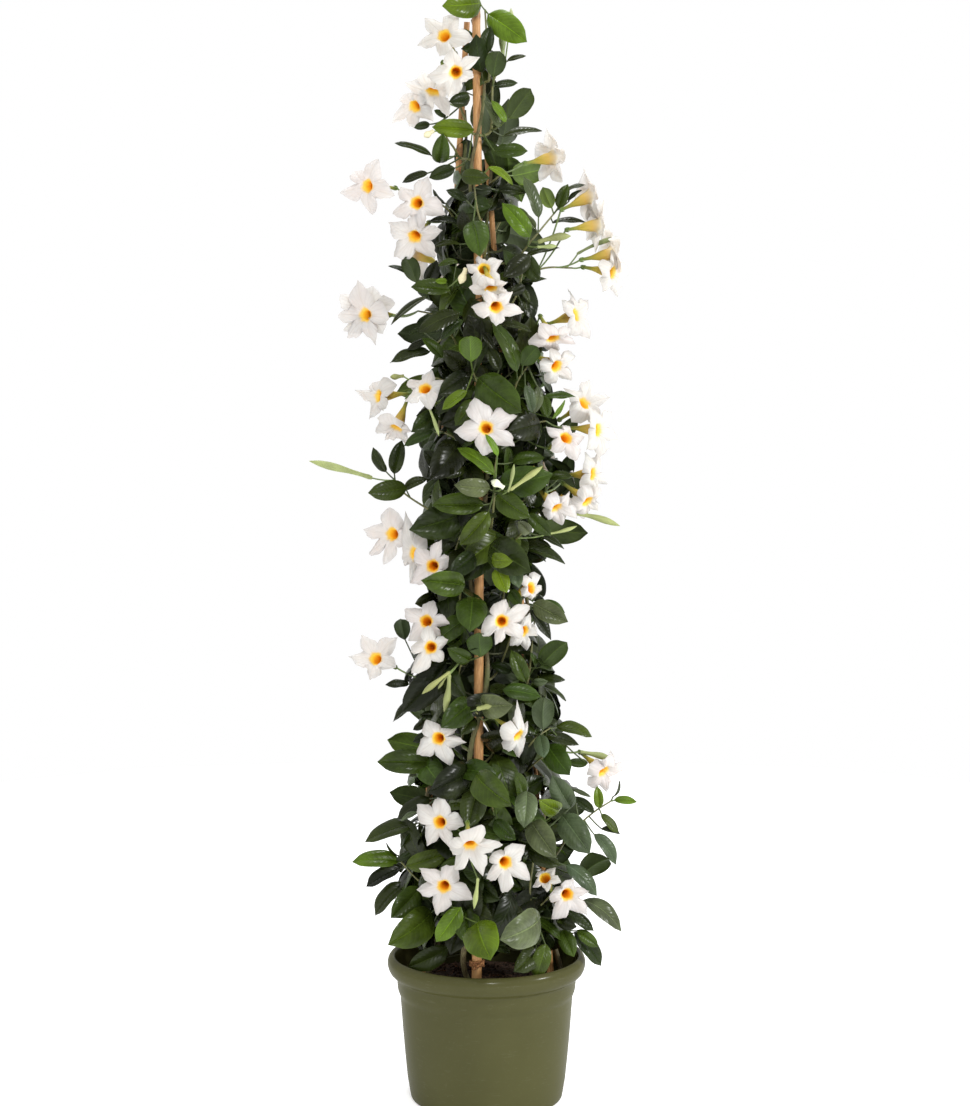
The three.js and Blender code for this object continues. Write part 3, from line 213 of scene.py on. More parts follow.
def shoot(name, stalk, items):
    return dict(name=name, stalk=stalk, items=items, slot="leaf")


def truss(name, stalk, items):
    return dict(name=name, stalk=stalk, items=items, slot="petal")


def seen(grown):
    """A shoot or truss whose stalk is given by spots of the photograph."""
    return dict(grown, stalk=[spot(*place) for place in grown["stalk"]])


# The near side of the plant, read off the photograph: a stalk's spots, then what grows on it.
# A leaf's tone, its last number, paints the light, shade and sheen that the leaf shows.
TRUSSES = [
    truss("top_truss", [(461, 108, 0.2), (458, 84, 0.5), (452, 62, 0.6)], [
        flower(444.5, 36, 1.0, -20, 15, [[425, 18], [417, 45], [440, 56], [474, 40], [458, 14]]),
        flower(456, 72, 1.25, 0, -5, [[427, 77], [452, 48], [480, 57], [474, 77], [448, 98]]),
        flower(433, 91, 0.7, -20, -60, [[404, 82], [421, 73], [450, 84], [449, 117], [420, 112]]),
        flower(415, 106, 0.6, -35, -25, [[407, 93], [391, 124], [408, 128], [434, 122], [421, 84]]),
    ]),
    truss("right_top_truss", [(492, 182, 0.3), (503, 173, 0.4)], [
        flower(552, 158, 0.4, 124, 6, 20),
    ]),
    truss("left_top_truss", [(458, 222, 0.1), (446, 208, 0.4), (430, 198, 0.4)], [
        flower(368, 186, 0.6, -40, 0, [[377, 158], [354, 171], [340, 193], [371, 216], [394, 196]]),
        flower(417, 203, 1.0, -15, 10, [[427, 176], [400, 187], [392, 214], [418, 228], [445, 214]]),
        flower(415, 236, 0.8, -15, -25, [[388, 224], [393, 258], [435, 258], [441, 232], [420, 212]]),
    ]),
    truss("right_upper_truss", [(518, 278, 0.1), (545, 268, 0.2), (572, 268, 0.1)], [
        flower(589, 197, 0.2, 112, 8, 10),
        flower(597, 225, 0.5, 110, -6, 40),
        flower(611, 254, 0.3, 112, 8, 0),
        flower(612, 272, 0.6, 65, -10, [[630, 275], [621, 298], [603, 292], [600, 266], [616, 250]]),
        bud(577, 254, 619, 237, 5, 0.2, bright),
    ]),
    truss("centre_truss", [(490, 332, 0.35), (486, 306, 0.65), (479, 285, 0.75)], [
        flower(484, 269, 1.0, 10, 30, [[466, 264], [478, 254], [503, 260], [500, 284], [474, 288]]),
        flower(491, 288, 1.15, 15, -60, [[469, 290], [484, 277], [508, 282], [506, 297], [486, 301]]),
        flower(496, 307, 1.3, 10, -20, [[472, 308], [487, 290], [513, 291], [524, 313], [496, 326]]),
    ]),
    truss("left_middle_truss", [(460, 325, 0.1), (436, 315, 0.2), (418, 311, 0.2)], [
        flower(366, 315, 0.7, -30, 5, [[356, 280], [338, 315], [347, 338], [374, 345], [390, 318]]),
        flower(372, 311, 0.4, -35, 15, [[337, 293], [343, 330], [383, 334], [394, 302], [374, 286]]),
    ]),
    truss("left_hanging_truss", [(458, 388, 0.2), (436, 378, 0.4), (415, 382, 0.3)], [
        flower(379, 396, 0.3, -65, 5, [[354, 390], [372, 383], [394, 385], [386, 408], [369, 419]]),
        flower(397, 427, 0.6, -40, -60, [[375, 431], [384, 441], [407, 449], [412, 431], [390, 414]]),
        flower(425, 389, 0.9, -15, 45, [[405, 402], [410, 377], [431, 369], [447, 384], [430, 409]]),
        bud(404, 376, 390, 377, 6, 0.3, bright),
        bud(428, 406, 439, 436, 4, 1.0, bright),
    ]),
    truss("right_middle_truss", [(503, 345, 0.2), (518, 330, 0.4), (534, 330, 0.4)], [
        flower(575, 315, 0.5, 70, 15, [[571, 288], [589, 300], [590, 339], [573, 335], [563, 300]]),
        flower(553, 338, 0.9, 30, -55, [[528, 341], [541, 326], [572, 329], [576, 345], [549, 353]]),
        flower(556, 366, 0.8, 40, -20, [[540, 362], [552, 350], [577, 357], [572, 381], [549, 385]]),
    ]),
    truss("right_low_truss", [(512, 432, 0.2), (530, 424, 0.4), (546, 421, 0.4)], [
        flower(584, 404, 0.4, 50, 35, [[566, 386], [592, 378], [612, 396], [602, 420], [574, 420]]),
        flower(597, 430, 0.8, 65, 0, [[590, 404], [613, 412], [617, 440], [602, 458], [588, 450]]),
        flower(566, 438, 1.1, 25, 35, [[547, 425], [571, 424], [585, 436], [577, 460], [553, 450]]),
    ]),
    truss("right_hanging_truss", [(508, 512, 0.2), (528, 498, 0.4), (546, 492, 0.4)], [
        flower(592, 474, 0.3, 65, -5, [[586, 453], [604, 459], [610, 484], [596, 494], [584, 488]]),
        flower(587, 501, 0.7, 50, -40, [[582, 486], [602, 494], [601, 514], [585, 520], [573, 505]]),
        flower(556, 507, 0.8, 55, -45, [[548, 495], [572, 494], [578, 520], [562, 526], [545, 515]]),
        bud(572, 513, 620, 526, 7, 0.2, bright),
        leaf(548, 479, 573, 477, 8, 0.3, deep),
    ]),
    truss("lower_left_truss", [(474, 572, 0.1), (458, 566, 0.2), (446, 562, 0.3)], [
        flower(393, 534, 1.0, -25, 0, [[389, 507], [361, 530], [368, 555], [382, 566], [406, 546]]),
        flower(415, 554, 0.7, -45, 0, [[404, 512], [399, 560], [409, 584], [424, 572], [421, 534]]),
        flower(433, 566, 1.0, -10, 5, [[441, 540], [416, 548], [410, 583], [437, 588], [449, 556]]),
    ]),
    truss("lower_centre_truss", [(497, 672, 0.2), (507, 648, 0.4), (514, 625, 0.4)], [
        flower(501.5, 621, 1.2, 0, 5, [[506, 599], [531, 606], [522, 640], [495, 645], [481, 636]]),
        flower(523, 631, 0.8, 35, -25, [[538, 636], [528, 652], [512, 648], [508, 626], [531, 614]]),
        flower(531, 588, 0.7, 55, 10, [[522, 577], [541, 576], [544, 590], [533, 600], [522, 596]]),
    ]),
    truss("low_left_truss", [(476, 700, 0.1), (456, 692, 0.2), (438, 680, 0.2)], [
        flower(426.5, 621, 1.0, -10, 5, [[433, 600], [405, 608], [408, 641], [440, 638], [450, 624]]),
        flower(431, 647, 1.3, -5, 0, [[448, 640], [443, 662], [411, 674], [411, 647], [428, 626]]),
        flower(376, 659, 0.7, -20, 20, [[361, 635], [396, 637], [395, 667], [370, 680], [348, 656]]),
    ]),
    truss("low_centre_truss", [(492, 755, 0.4), (488, 728, 0.8), (476, 712, 1.0)], [
        flower(438.5, 738, 1.1, -10, 0, [[425, 720], [457, 728], [466, 743], [450, 768], [416, 755]]),
        flower(518, 735, 1.0, 55, -35, [[519, 701], [530, 728], [519, 758], [505, 750], [503, 727]]),
    ]),
    truss("far_right_truss", [(527, 770, 0.1), (545, 756, 0.3), (562, 751, 0.3)], [
        flower(603, 771, 0.5, 50, -35, [[588, 764], [612, 752], [624, 772], [606, 792], [589, 787]]),
        bud(580, 752, 612, 759, 7, 0.3, bright),
    ]),
    truss("base_truss", [(477, 885, 0.3), (468, 858, 0.7), (463, 834, 0.8)], [
        flower(440, 822, 1.1, -10, 0, [[440, 794], [416, 805], [427, 846], [449, 848], [464, 826]]),
        flower(470, 844, 1.35, 5, -45, [[482, 826], [504, 849], [483, 877], [454, 871], [449, 850]]),
        flower(505, 862, 1.25, 10, 0, [[526, 846], [531, 881], [503, 894], [487, 879], [490, 856]]),
        flower(444, 886, 1.2, -5, 0, [[419, 869], [455, 866], [473, 901], [437, 916], [417, 890]]),
        bud(478, 878, 474, 909, 5, 1.2, bright),
    ]),
    truss("base_right_truss", [(522, 918, 0.2), (540, 906, 0.5), (550, 896, 0.6)], [
        flower(567, 894, 1.1, 10, 0, [[589, 891], [587, 915], [552, 920], [549, 897], [574, 879]]),
        flower(545, 878, 0.8, -20, 35, [[532, 887], [538, 870], [556, 868], [561, 882], [547, 892]]),
    ]),
]
SHOOTS = [
    shoot("crown_shoot", [(489, 80, 0.4), (487, 42, 0.5), (485, 10, 0.5)], [
        leaf(481, 3, 442, 6, 26, 0.3, bright),
        leaf(488, 14, 527, 42, 26, 0.5, bright),
        leaf(483, 55, 490, 26, 14, 0.6, dark),
        leaf(482, 48, 461, 49, 12, 0.3, dark),
        leaf(474, 38, 458, 30, 8, 0.1, deep),
    ]),
    shoot("top_right_shoot", [(490, 132, 0.3), (492, 105, 0.4), (494, 80, 0.4), (505, 62, 0.3)], [
        leaf(493, 77, 499, 51, 20, 0.6, deep),
        leaf(507, 61, 526, 56, 5, 0.3, dark),
        leaf(494, 86, 518, 83, 8, 0.4, dark),
        leaf(499, 128, 484, 100, 9, 0.8, pale),
        leaf(509, 119, 531, 89, 22, 0.5, deep),
        leaf(506, 122, 491, 100, 8, 0.9, bright),
        leaf(503, 137, 542, 131, 7, 0.2, dark),
        leaf(494, 152, 528, 151, 14, 0.5, deep),
        bud(503, 60, 502, 31, 7, 0.3, bright),
        bud(508, 40, 511, 8, 6, 0.2, pale),
    ]),
    shoot("top_left_shoot", [(460, 158, 0.2), (454, 148, 0.4), (447, 138, 0.3), (440, 122, 0.3)], [
        leaf(470, 97, 449, 102, 14, 0.4, dark),
        leaf(446, 117, 434, 110, 6, 0.3, dark),
        leaf(474, 130, 432, 127, 18, 0.7, bright),
        leaf(430, 124, 414, 128, 8, 0.2, dark),
        leaf(432, 156, 394, 143, 6, 0.2, dark),
        leaf(440, 163, 443, 133, 17, 0.6, deep),
        leaf(428, 173, 402, 183, 8, 0.2, dark),
        leaf(455, 168, 429, 178, 13, 0.6, dark),
        bud(434, 131, 424, 137, 7, 0.4, cream),
    ]),
    shoot("upper_front_shoot", [(486, 240, 0.4), (477, 208, 0.7), (474, 182, 0.7)], [
        leaf(461, 176, 490, 178, 15, 1.0, deep),
        leaf(492, 190, 472, 190, 10, 0.6, black),
        leaf(467, 200, 446, 190, 9, 0.5, dark),
        leaf(446, 204, 433, 189, 4, 0.3, dark),
        leaf(488, 167, 513, 185, 7, 0.8, bright),
        leaf(498, 190, 526, 193, 10, 0.4, dark),
        leaf(473, 221, 480, 257, 24, 1.0, deep),
        leaf(465, 231, 462, 210, 13, 0.6, black),
        leaf(460, 225, 428, 222, 7, 0.4, black),
        leaf(460, 244, 431, 249, 5, 0.4, dark),
    ]),
    shoot("upper_right_shoot", [(512, 262, 0.2), (532, 240, 0.4), (547, 222, 0.3), (557, 210, 0.2)], [
        leaf(539, 218, 523, 176, 12, 0.6, pale),
        leaf(552, 208, 543, 187, 14, 0.4, bright),
        leaf(558, 208, 568, 184, 12, 0.3, deep),
        leaf(564, 192, 586, 185, 4, 0.1, dark),
        leaf(568, 202, 582, 190, 4, 0.1, dark),
        leaf(552, 223, 587, 223, 5, 0.1, dark),
        leaf(530, 237, 502, 203, 18, 0.9, bright),
        leaf(536, 228, 520, 213, 10, 0.6, pale),
        bud(538, 242, 571, 236, 8, 0.5, bright),
        bud(537, 247, 557, 246, 5, 0.5, bright),
    ]),
    shoot("middle_right_shoot", [(500, 318, 0.4), (516, 296, 0.6), (524, 266, 0.6)], [
        leaf(530, 256, 503, 277, 18, 0.9, black),
        leaf(522, 255, 540, 281, 18, 0.7, dark),
        leaf(520, 283, 547, 279, 5, 0.3, dark),
        leaf(525, 286, 507, 295, 10, 0.7, black),
        leaf(519, 287, 530, 303, 6, 0.5, dark),
        leaf(526, 256, 560, 248, 6, 0.3, dark),
        leaf(502, 325, 532, 332, 6, 0.8, dark),
        leaf(520, 300, 527, 316, 8, 0.5, dark),
    ]),
    shoot("middle_left_shoot", [(458, 303, 0.2), (446, 290, 0.5), (426, 288, 0.3)], [
        leaf(428, 297, 391, 325, 6, 0.2, dark),
        leaf(412, 276, 388, 266, 4, 0.1, dark),
        leaf(417, 283, 405, 257, 17, 0.4, dark),
        leaf(428, 283, 437, 260, 14, 0.6, black),
        leaf(450, 290, 411, 287, 15, 0.8, deep),
        leaf(458, 262, 438, 266, 6, 0.8, deep),
        leaf(447, 281, 435, 281, 6, 0.9, bright),
        bud(466, 268, 460, 284, 8, 1.0, cream),
    ]),
    shoot("centre_left_shoot", [(460, 352, 0.2), (450, 335, 0.5), (434, 345, 0.4)], [
        leaf(460, 313, 418, 332, 16, 0.8, dark),
        leaf(424, 330, 408, 335, 5, 0.3, dark),
        leaf(430, 352, 390, 363, 10, 0.3, dark),
        leaf(428, 340, 407, 350, 7, 0.3, black),
        leaf(443, 358, 422, 338, 10, 0.6, deep),
        leaf(463, 320, 441, 340, 10, 0.7, dark),
        leaf(464, 368, 443, 350, 18, 0.6, black),
    ]),
    shoot("centre_front_shoot", [(492, 408, 0.4), (480, 388, 0.7), (473, 372, 0.8)], [
        leaf(471, 362, 470, 336, 22, 1.0, bright),
        leaf(482, 332, 494, 350, 8, 0.7, black),
        leaf(500, 370, 486, 345, 12, 0.6, dark),
        leaf(478, 378, 522, 412, 34, 0.8, deep),
        leaf(470, 374, 438, 395, 20, 0.6, black),
        leaf(467, 391, 442, 410, 10, 1.0, bright),
        leaf(474, 400, 455, 426, 16, 0.8, deep),
        leaf(482, 405, 440, 425, 24, 0.5, black),
    ]),
    shoot("centre_right_shoot", [(508, 405, 0.3), (518, 380, 0.6), (528, 366, 0.6)], [
        leaf(517, 372, 492, 322, 15, 0.9, deep),
        leaf(522, 366, 538, 347, 17, 0.8, deep),
        leaf(525, 385, 532, 413, 10, 1.0, pale),
        leaf(538, 386, 534, 414, 10, 1.0, pale),
        leaf(541, 400, 576, 397, 6, 0.5, deep),
        leaf(543, 396, 548, 418, 12, 0.6, deep),
        leaf(552, 419, 565, 400, 5, 0.7, bright),
    ]),
    shoot("left_spray_shoot", [(466, 538, 0.3), (432, 512, 0.4), (403, 492, 0.3), (395, 480, 0.2)], [
        leaf(407, 488, 368, 493, 20, 0.4, deep),
        leaf(394, 474, 402, 440, 15, 0.3, dark),
        leaf(386, 472, 373, 447, 11, 0.2, dark),
        leaf(404, 490, 428, 479, 9, 0.2, dark),
        bud(372, 478, 309, 461, 8, 0.1, bright),
    ]),
    shoot("left_middle_shoot", [(474, 452, 0.2), (452, 436, 0.5), (438, 430, 0.4)], [
        leaf(437, 414, 411, 432, 18, 0.5, dark),
        leaf(433, 431, 404, 446, 10, 0.6, deep),
        leaf(458, 442, 430, 480, 30, 0.6, black),
        leaf(438, 410, 416, 416, 12, 0.3, black),
        leaf(442, 478, 422, 498, 8, 0.3, dark),
        leaf(462, 460, 436, 475, 22, 0.4, dark),
    ]),
    shoot("centre_shoot", [(488, 535, 0.4), (494, 500, 0.8), (495, 470, 0.8), (498, 450, 0.8)], [
        flower(486, 428, 1.2, -5, 5, [[474, 397], [517, 416], [514, 446], [482, 456], [454, 432]]),
        leaf(495, 475, 457, 448, 11, 1.1, bright),
        leaf(490, 488, 454, 485, 18, 1.1, pale),
        leaf(484, 505, 432, 505, 20, 0.8, deep),
        leaf(489, 512, 460, 545, 20, 1.0, deep),
        leaf(498, 456, 485, 434, 6, 1.35, bright),
        leaf(497, 494, 530, 518, 22, 0.9, deep),
        leaf(500, 486, 553, 474, 30, 0.6, deep),
        leaf(540, 425, 506, 433, 26, 0.5, black),
        leaf(512, 462, 545, 458, 12, 0.6, deep),
        bud(508, 492, 514, 464, 4, 1.1, bright),
        bud(510, 490, 543, 466, 6, 1.1, bright),
        bud(504, 488, 491, 481, 8, 1.1, cream),
    ]),
    shoot("right_middle_shoot", [(505, 548, 0.3), (520, 535, 0.5), (531, 520, 0.5)], [
        leaf(528, 514, 551, 536, 14, 0.8, deep),
        leaf(530, 533, 518, 521, 12, 0.9, pale),
        leaf(523, 543, 551, 547, 7, 0.3, dark),
        leaf(538, 535, 564, 549, 5, 0.3, dark),
        leaf(524, 549, 565, 564, 8, 0.4, dark),
        leaf(526, 552, 546, 562, 3, 0.3, dark),
        bud(548, 534, 577, 526, 4, 0.4, bright),
    ]),
    shoot("lower_left_shoot", [(462, 612, 0.4), (460, 588, 0.7), (454, 560, 0.6), (460, 535, 0.5)], [
        leaf(465, 585, 421, 580, 25, 1.0, deep),
        leaf(475, 555, 449, 575, 20, 0.8, dark),
        leaf(472, 597, 469, 632, 30, 0.9, deep),
        leaf(436, 596, 415, 604, 14, 0.4, black),
        leaf(470, 510, 409, 530, 34, 0.5, dark),
        leaf(458, 538, 431, 551, 14, 0.6, black),
    ]),
    shoot("lower_centre_shoot", [(500, 605, 0.3), (503, 580, 0.6), (498, 556, 0.6)], [
        leaf(492, 560, 513, 561, 15, 1.1, bright),
        leaf(497, 567, 507, 593, 16, 1.0, bright),
        leaf(490, 545, 531, 572, 34, 0.8, dark),
        leaf(512, 560, 519, 588, 16, 1.0, pale),
        leaf(490, 536, 507, 540, 10, 0.5, deep),
        leaf(510, 590, 521, 607, 12, 0.8, deep),
        leaf(500, 596, 484, 606, 8, 0.6, black),
    ]),
    shoot("lower_right_shoot", [(512, 708, 0.3), (527, 684, 0.5), (532, 645, 0.4), (536, 606, 0.4)], [
        leaf(541, 602, 565, 613, 8, 0.3, deep),
        leaf(533, 603, 568, 622, 20, 0.7, pale),
        leaf(530, 610, 551, 640, 10, 0.5, black),
        leaf(539, 668, 567, 642, 22, 0.5, deep),
        leaf(533, 680, 565, 680, 9, 0.4, dark),
        leaf(538, 685, 566, 701, 4, 0.3, dark),
        leaf(536, 667, 530, 652, 5, 0.6, deep),
        leaf(526, 682, 511, 650, 15, 0.8, deep),
        leaf(503, 690, 541, 697, 15, 0.8, deep),
        leaf(533, 682, 548, 681, 8, 0.7, pale),
        leaf(512, 672, 490, 664, 10, 0.3, dark),
    ]),
    shoot("low_left_shoot", [(462, 745, 0.4), (465, 712, 0.8), (458, 680, 0.7), (464, 655, 0.8)], [
        leaf(481, 657, 480, 633, 25, 0.9, deep),
        leaf(470, 661, 447, 648, 15, 0.9, deep),
        leaf(447, 662, 402, 712, 30, 0.6, black),
        leaf(434, 700, 393, 722, 8, 0.4, dark),
        leaf(405, 640, 401, 619, 16, 0.2, dark),
        leaf(409, 684, 385, 685, 7, 0.2, black),
        leaf(440, 716, 420, 715, 7, 0.3, black),
        leaf(428, 721, 413, 730, 8, 0.3, black),
        leaf(434, 735, 413, 742, 9, 0.3, black),
        leaf(472, 702, 441, 728, 26, 0.8, deep),
        leaf(473, 716, 461, 735, 16, 0.8, dark),
        leaf(482, 705, 513, 705, 25, 1.0, pale),
        leaf(484, 742, 510, 731, 22, 0.6, black),
        bud(450, 672, 422, 694, 6, 1.1, bright),
        bud(449, 674, 444, 712, 7, 1.1, bright),
        bud(447, 676, 438, 689, 3, 1.1, bright),
        bud(477, 709, 500, 703, 8, 1.2, bright),
    ]),
    shoot("low_right_shoot", [(522, 756, 0.3), (536, 738, 0.6), (550, 728, 0.5)], [
        leaf(543, 730, 545, 697, 22, 0.9, pale),
        leaf(556, 727, 592, 737, 10, 0.3, deep),
        leaf(545, 735, 579, 745, 9, 0.4, dark),
        leaf(540, 735, 544, 758, 15, 0.9, pale),
        leaf(535, 727, 559, 722, 5, 0.4, dark),
        leaf(532, 733, 523, 765, 16, 0.5, black),
        leaf(548, 745, 570, 775, 24, 0.7, deep),
        leaf(588, 763, 567, 762, 9, 0.4, deep),
    ]),
    shoot("base_left_shoot", [(466, 812, 0.2), (448, 795, 0.4), (436, 776, 0.4)], [
        leaf(434, 762, 377, 762, 23, 0.5, deep),
        leaf(427, 769, 409, 777, 6, 0.3, dark),
        leaf(470, 772, 428, 792, 34, 0.6, black),
        leaf(430, 798, 397, 819, 14, 0.3, black),
        leaf(417, 812, 401, 821, 4, 0.6, pale),
        leaf(415, 824, 365, 842, 13, 0.3, dark),
        leaf(412, 830, 401, 849, 4, 0.3, dark),
    ]),
    shoot("base_front_shoot", [(490, 828, 0.4), (492, 806, 0.8), (482, 786, 0.9)], [
        leaf(480, 884, 500, 900, 20, 0.6, dark),
        leaf(488, 898, 490, 925, 14, 0.6, dark),
        leaf(476, 775, 512, 806, 30, 1.1, deep),
        leaf(478, 790, 468, 828, 26, 0.8, dark),
        leaf(494, 820, 516, 840, 16, 0.8, deep),
        leaf(467, 775, 448, 800, 20, 0.6, black),
    ]),
    shoot("base_right_shoot", [(540, 930, 0.3), (530, 895, 0.5), (534, 850, 0.6), (530, 798, 0.7)], [
        leaf(527, 791, 524, 828, 22, 1.0, pale),
        leaf(531, 822, 556, 858, 26, 1.0, pale),
        leaf(528, 848, 560, 866, 20, 0.7, dark),
        leaf(560, 810, 539, 800, 18, 0.8, bright),
        leaf(571, 808, 552, 775, 22, 0.9, pale),
        leaf(540, 918, 500, 940, 36, 0.9, pale),
        leaf(546, 944, 536, 978, 18, 0.85, deep),
        leaf(536, 950, 514, 972, 22, 0.7, dark),
        leaf(583, 900, 621, 931, 14, 0.5, pale),
        leaf(563, 909, 594, 931, 10, 0.4, dark),
        leaf(574, 932, 601, 966, 16, 0.3, dark),
        leaf(577, 930, 598, 947, 12, 0.5, deep),
        leaf(562, 930, 574, 957, 17, 0.6, deep),
        leaf(556, 918, 577, 927, 14, 0.7, black),
        leaf(543, 932, 520, 950, 12, 0.6, dark),
        leaf(548, 890, 508, 915, 26, 0.4, black),
        leaf(566, 865, 597, 896, 14, 0.8, pale),
    ]),
    shoot("far_right_shoot", [(550, 862, 0.1), (572, 832, 0.4), (594, 812, 0.2), (611, 801, 0.1)], [
        leaf(562, 815, 590, 854, 28, 0.9, pale),
        leaf(594, 834, 616, 865, 12, 0.4, pale),
        leaf(580, 877, 609, 859, 24, 0.5, deep),
        leaf(601, 814, 619, 834, 8, 0.1, deep),
        leaf(614, 800, 637, 802, 7, 0.1, bright),
        leaf(613, 797, 619, 780, 3, 0.1, dark),
        leaf(599, 808, 597, 786, 10, 0.4, bright),
        leaf(601, 829, 620, 834, 5, 0.1, dark),
        leaf(594, 812, 571, 797, 9, 0.4, dark),
        leaf(572, 789, 591, 797, 3, 0.5, pale),
    ]),
    shoot("far_left_shoot", [(468, 925, 0.2), (448, 905, 0.5), (418, 880, 0.4), (401, 862, 0.3)], [
        leaf(400, 861, 352, 862, 14, 0.2, bright),
        leaf(406, 866, 448, 852, 20, 0.7, deep),
        leaf(402, 867, 366, 887, 12, 0.3, black),
        leaf(406, 883, 375, 916, 14, 0.2, dark),
        leaf(399, 856, 386, 842, 3, 0.2, dark),
        leaf(412, 853, 396, 860, 8, 0.3, dark),
        leaf(420, 888, 391, 918, 24, 0.4, deep),
        leaf(432, 912, 388, 945, 34, 0.5, deep),
        leaf(461, 907, 436, 942, 20, 0.9, bright),
        leaf(430, 931, 424, 950, 4, 0.5, pale),
        leaf(448, 948, 408, 967, 22, 0.5, dark),
        leaf(466, 905, 470, 946, 26, 0.7, deep),
        leaf(478, 922, 491, 960, 36, 1.1, bright),
        leaf(462, 912, 450, 955, 28, 0.5, black),
    ]),
]
# The far side of the plant: its shoots and trusses follow one rule, as azimuth and height.
BACK_SHOOTS = [(50, 240), (130, 310), (85, 450), (40, 620), (125, 780), (75, 950)]
BACK_TRUSSES = [(95, 350), (60, 690), (110, 900)]


def scatter(seed):
    high = math.sin(seed * 12.9898) * 43758.5453
    return high - math.floor(high)


def around(azimuth, radius, height):
    angle = math.radians(azimuth)
    return np.array([radius * math.cos(angle), radius * math.sin(angle), height])


class Curve:
    """A centripetal Catmull-Rom curve through points, read by shares of its length."""

    def __init__(self, points):
        self.points = np.array(points, float)
        self.shares = np.linspace(0, 1, 201)
        steps = np.linalg.norm(np.diff(self.between(self.shares), axis=0), axis=1)
        self.reached = np.concatenate([[0], np.cumsum(steps)])
        self.length = self.reached[-1]

    def between(self, shares):
        p = self.points
        place = np.atleast_1d(shares) * (len(p) - 1)
        first = np.minimum(place.astype(int), len(p) - 2)
        w = (place - first)[:, None]
        ends = np.vstack([2 * p[0] - p[1], p, 2 * p[-1] - p[-2]])
        p0, p1, p2, p3 = (ends[first + i] for i in range(4))
        d0, d1, d2 = (
            np.maximum(np.sum((b - a) ** 2, axis=1) ** 0.25, 1e-4)[:, None]
            for a, b in ((p0, p1), (p1, p2), (p2, p3))
        )
        t1 = ((p1 - p0) / d0 - (p2 - p0) / (d0 + d1) + (p2 - p1) / d1) * d1
        t2 = ((p2 - p1) / d1 - (p3 - p1) / (d1 + d2) + (p3 - p2) / d2) * d1
        bend = -3 * p1 + 3 * p2 - 2 * t1 - t2
        return p1 + t1 * w + bend * w**2 + (2 * p1 - 2 * p2 + t1 + t2) * w**3

    def at(self, shares):
        reached = np.atleast_1d(shares) * self.length
        return self.between(np.interp(reached, self.reached, self.shares))

    def tangent(self, shares):
        shares = np.atleast_1d(shares)
        run = self.at(np.minimum(shares + 1e-4, 1)) - self.at(np.maximum(shares - 1e-4, 0))
        return run / np.linalg.norm(run, axis=1)[:, None]


def back_shoot(azimuth, height, order):
    """Leaves in pairs up the twig, each pair turned a quarter from the one below."""
    reach = column_radius(height)
    stalk = [
        around(azimuth, 0.4 * reach, height - 40),
        around(azimuth + 8, 0.62 * reach, height),
        around(azimuth - 6, 0.72 * reach, height + 48),
        around(azimuth + 4, 0.78 * reach, height + 96),
    ]
    curve = Curve(stalk)
    outward, sideways = around(azimuth, 1, 0), around(azimuth + 90, 1, 0)
    items = []
    for pair in range(BACK_PAIRS):
        apart, skew = (sideways, UP) if pair % 2 else (UP, sideways)
        for side in (-1, 1):
            seed = 100 * order + 10 * pair + side + 2
            run = outward * (0.5 + 0.5 * scatter(seed)) + apart * 0.9 * side
            run = unit(run + skew * 0.8 * (scatter(seed + 0.5) - 0.6))
            base = curve.at((pair + 1) / BACK_PAIRS)[0] + 7 * run
            length = 48 + 18 * scatter(seed + 0.3)
            across = unit(np.cross(run, outward))
            tone = [deep, dark, bright, deep][int(4 * scatter(seed + 0.7))]
            tip = base + run * length
            half = 0.25 * length
            items.append(dict(kind="leaf", base=base, tip=tip, across=across, half=half, tone=tone))
    return shoot(f"back_shoot_{order + 1}", stalk, items)


def back_truss(azimuth, height, order):
    reach = column_radius(height)
    stalk = [around(azimuth, 0.4 * reach, height - 50), around(azimuth, 0.6 * reach, height - 10)]
    blooms = []
    for side in (-1, 0, 1):
        seed = 500 + 10 * order + side
        radius = reach * (1 + 0.1 * scatter(seed))
        centre = around(azimuth + 24 * side, radius, height + 26 * side + 8)
        tilt = 30 * scatter(seed + 0.4) - 15
        blooms.append(bloom(centre, azimuth + 90 + 30 * side, tilt, 72 * scatter(seed + 0.8)))
    return truss(f"back_truss_{order + 1}", stalk, blooms)


SPRAYS = [
    *map(seen, TRUSSES),
    *(back_truss(*place, order) for order, place in enumerate(BACK_TRUSSES)),
    *map(seen, SHOOTS),
    *(back_shoot(*place, order) for order, place in enumerate(BACK_SHOOTS)),
]


class Cane:
    """A tapering pole with a slight bow, given by its foot in the soil and its top."""

    def __init__(self, foot, top, bow, radii):
        self.foot = np.array([*foot, SOIL_LEVEL], float)
        self.top = top
        self.bow = np.array([*bow, 0], float)
        self.radii = radii

    def share_at(self, height):
        return (height - self.foot[2]) / (self.top[2] - self.foot[2])

    def at(self, height):
        share = self.share_at(height)
        return self.foot + (self.top - self.foot) * share + self.bow * 4 * share * (1 - share)

    def radius_at(self, height):
        return self.radii[0] + (self.radii[1] - self.radii[0]) * self.share_at(height)


class Vine:
    """A stem that twines up a cane and ends a little above the last height that it holds on to."""

    def __init__(self, cane, phase, turns, foot_height, tip_height, lead):
        points = []
        steps = math.ceil(turns * VINE_STEPS_PER_TURN)
        for step in range(steps + 1):
            share = step / steps
            height = foot_height + (tip_height - foot_height) * share
            angle = phase + 2 * math.pi * turns * share
            near = self.radius_at(share) + cane.radius_at(height) + VINE_CLEARANCE
            spread = near + lead * max(0, 1 - 8 * share)
            points.append(cane.at(height) + spread * np.array([math.cos(angle), math.sin(angle), 0]))
        self.curve = Curve(points)

    def radius_at(self, share):
        return VINE_FOOT_RADIUS + (VINE_TIP_RADIUS - VINE_FOOT_RADIUS) * share


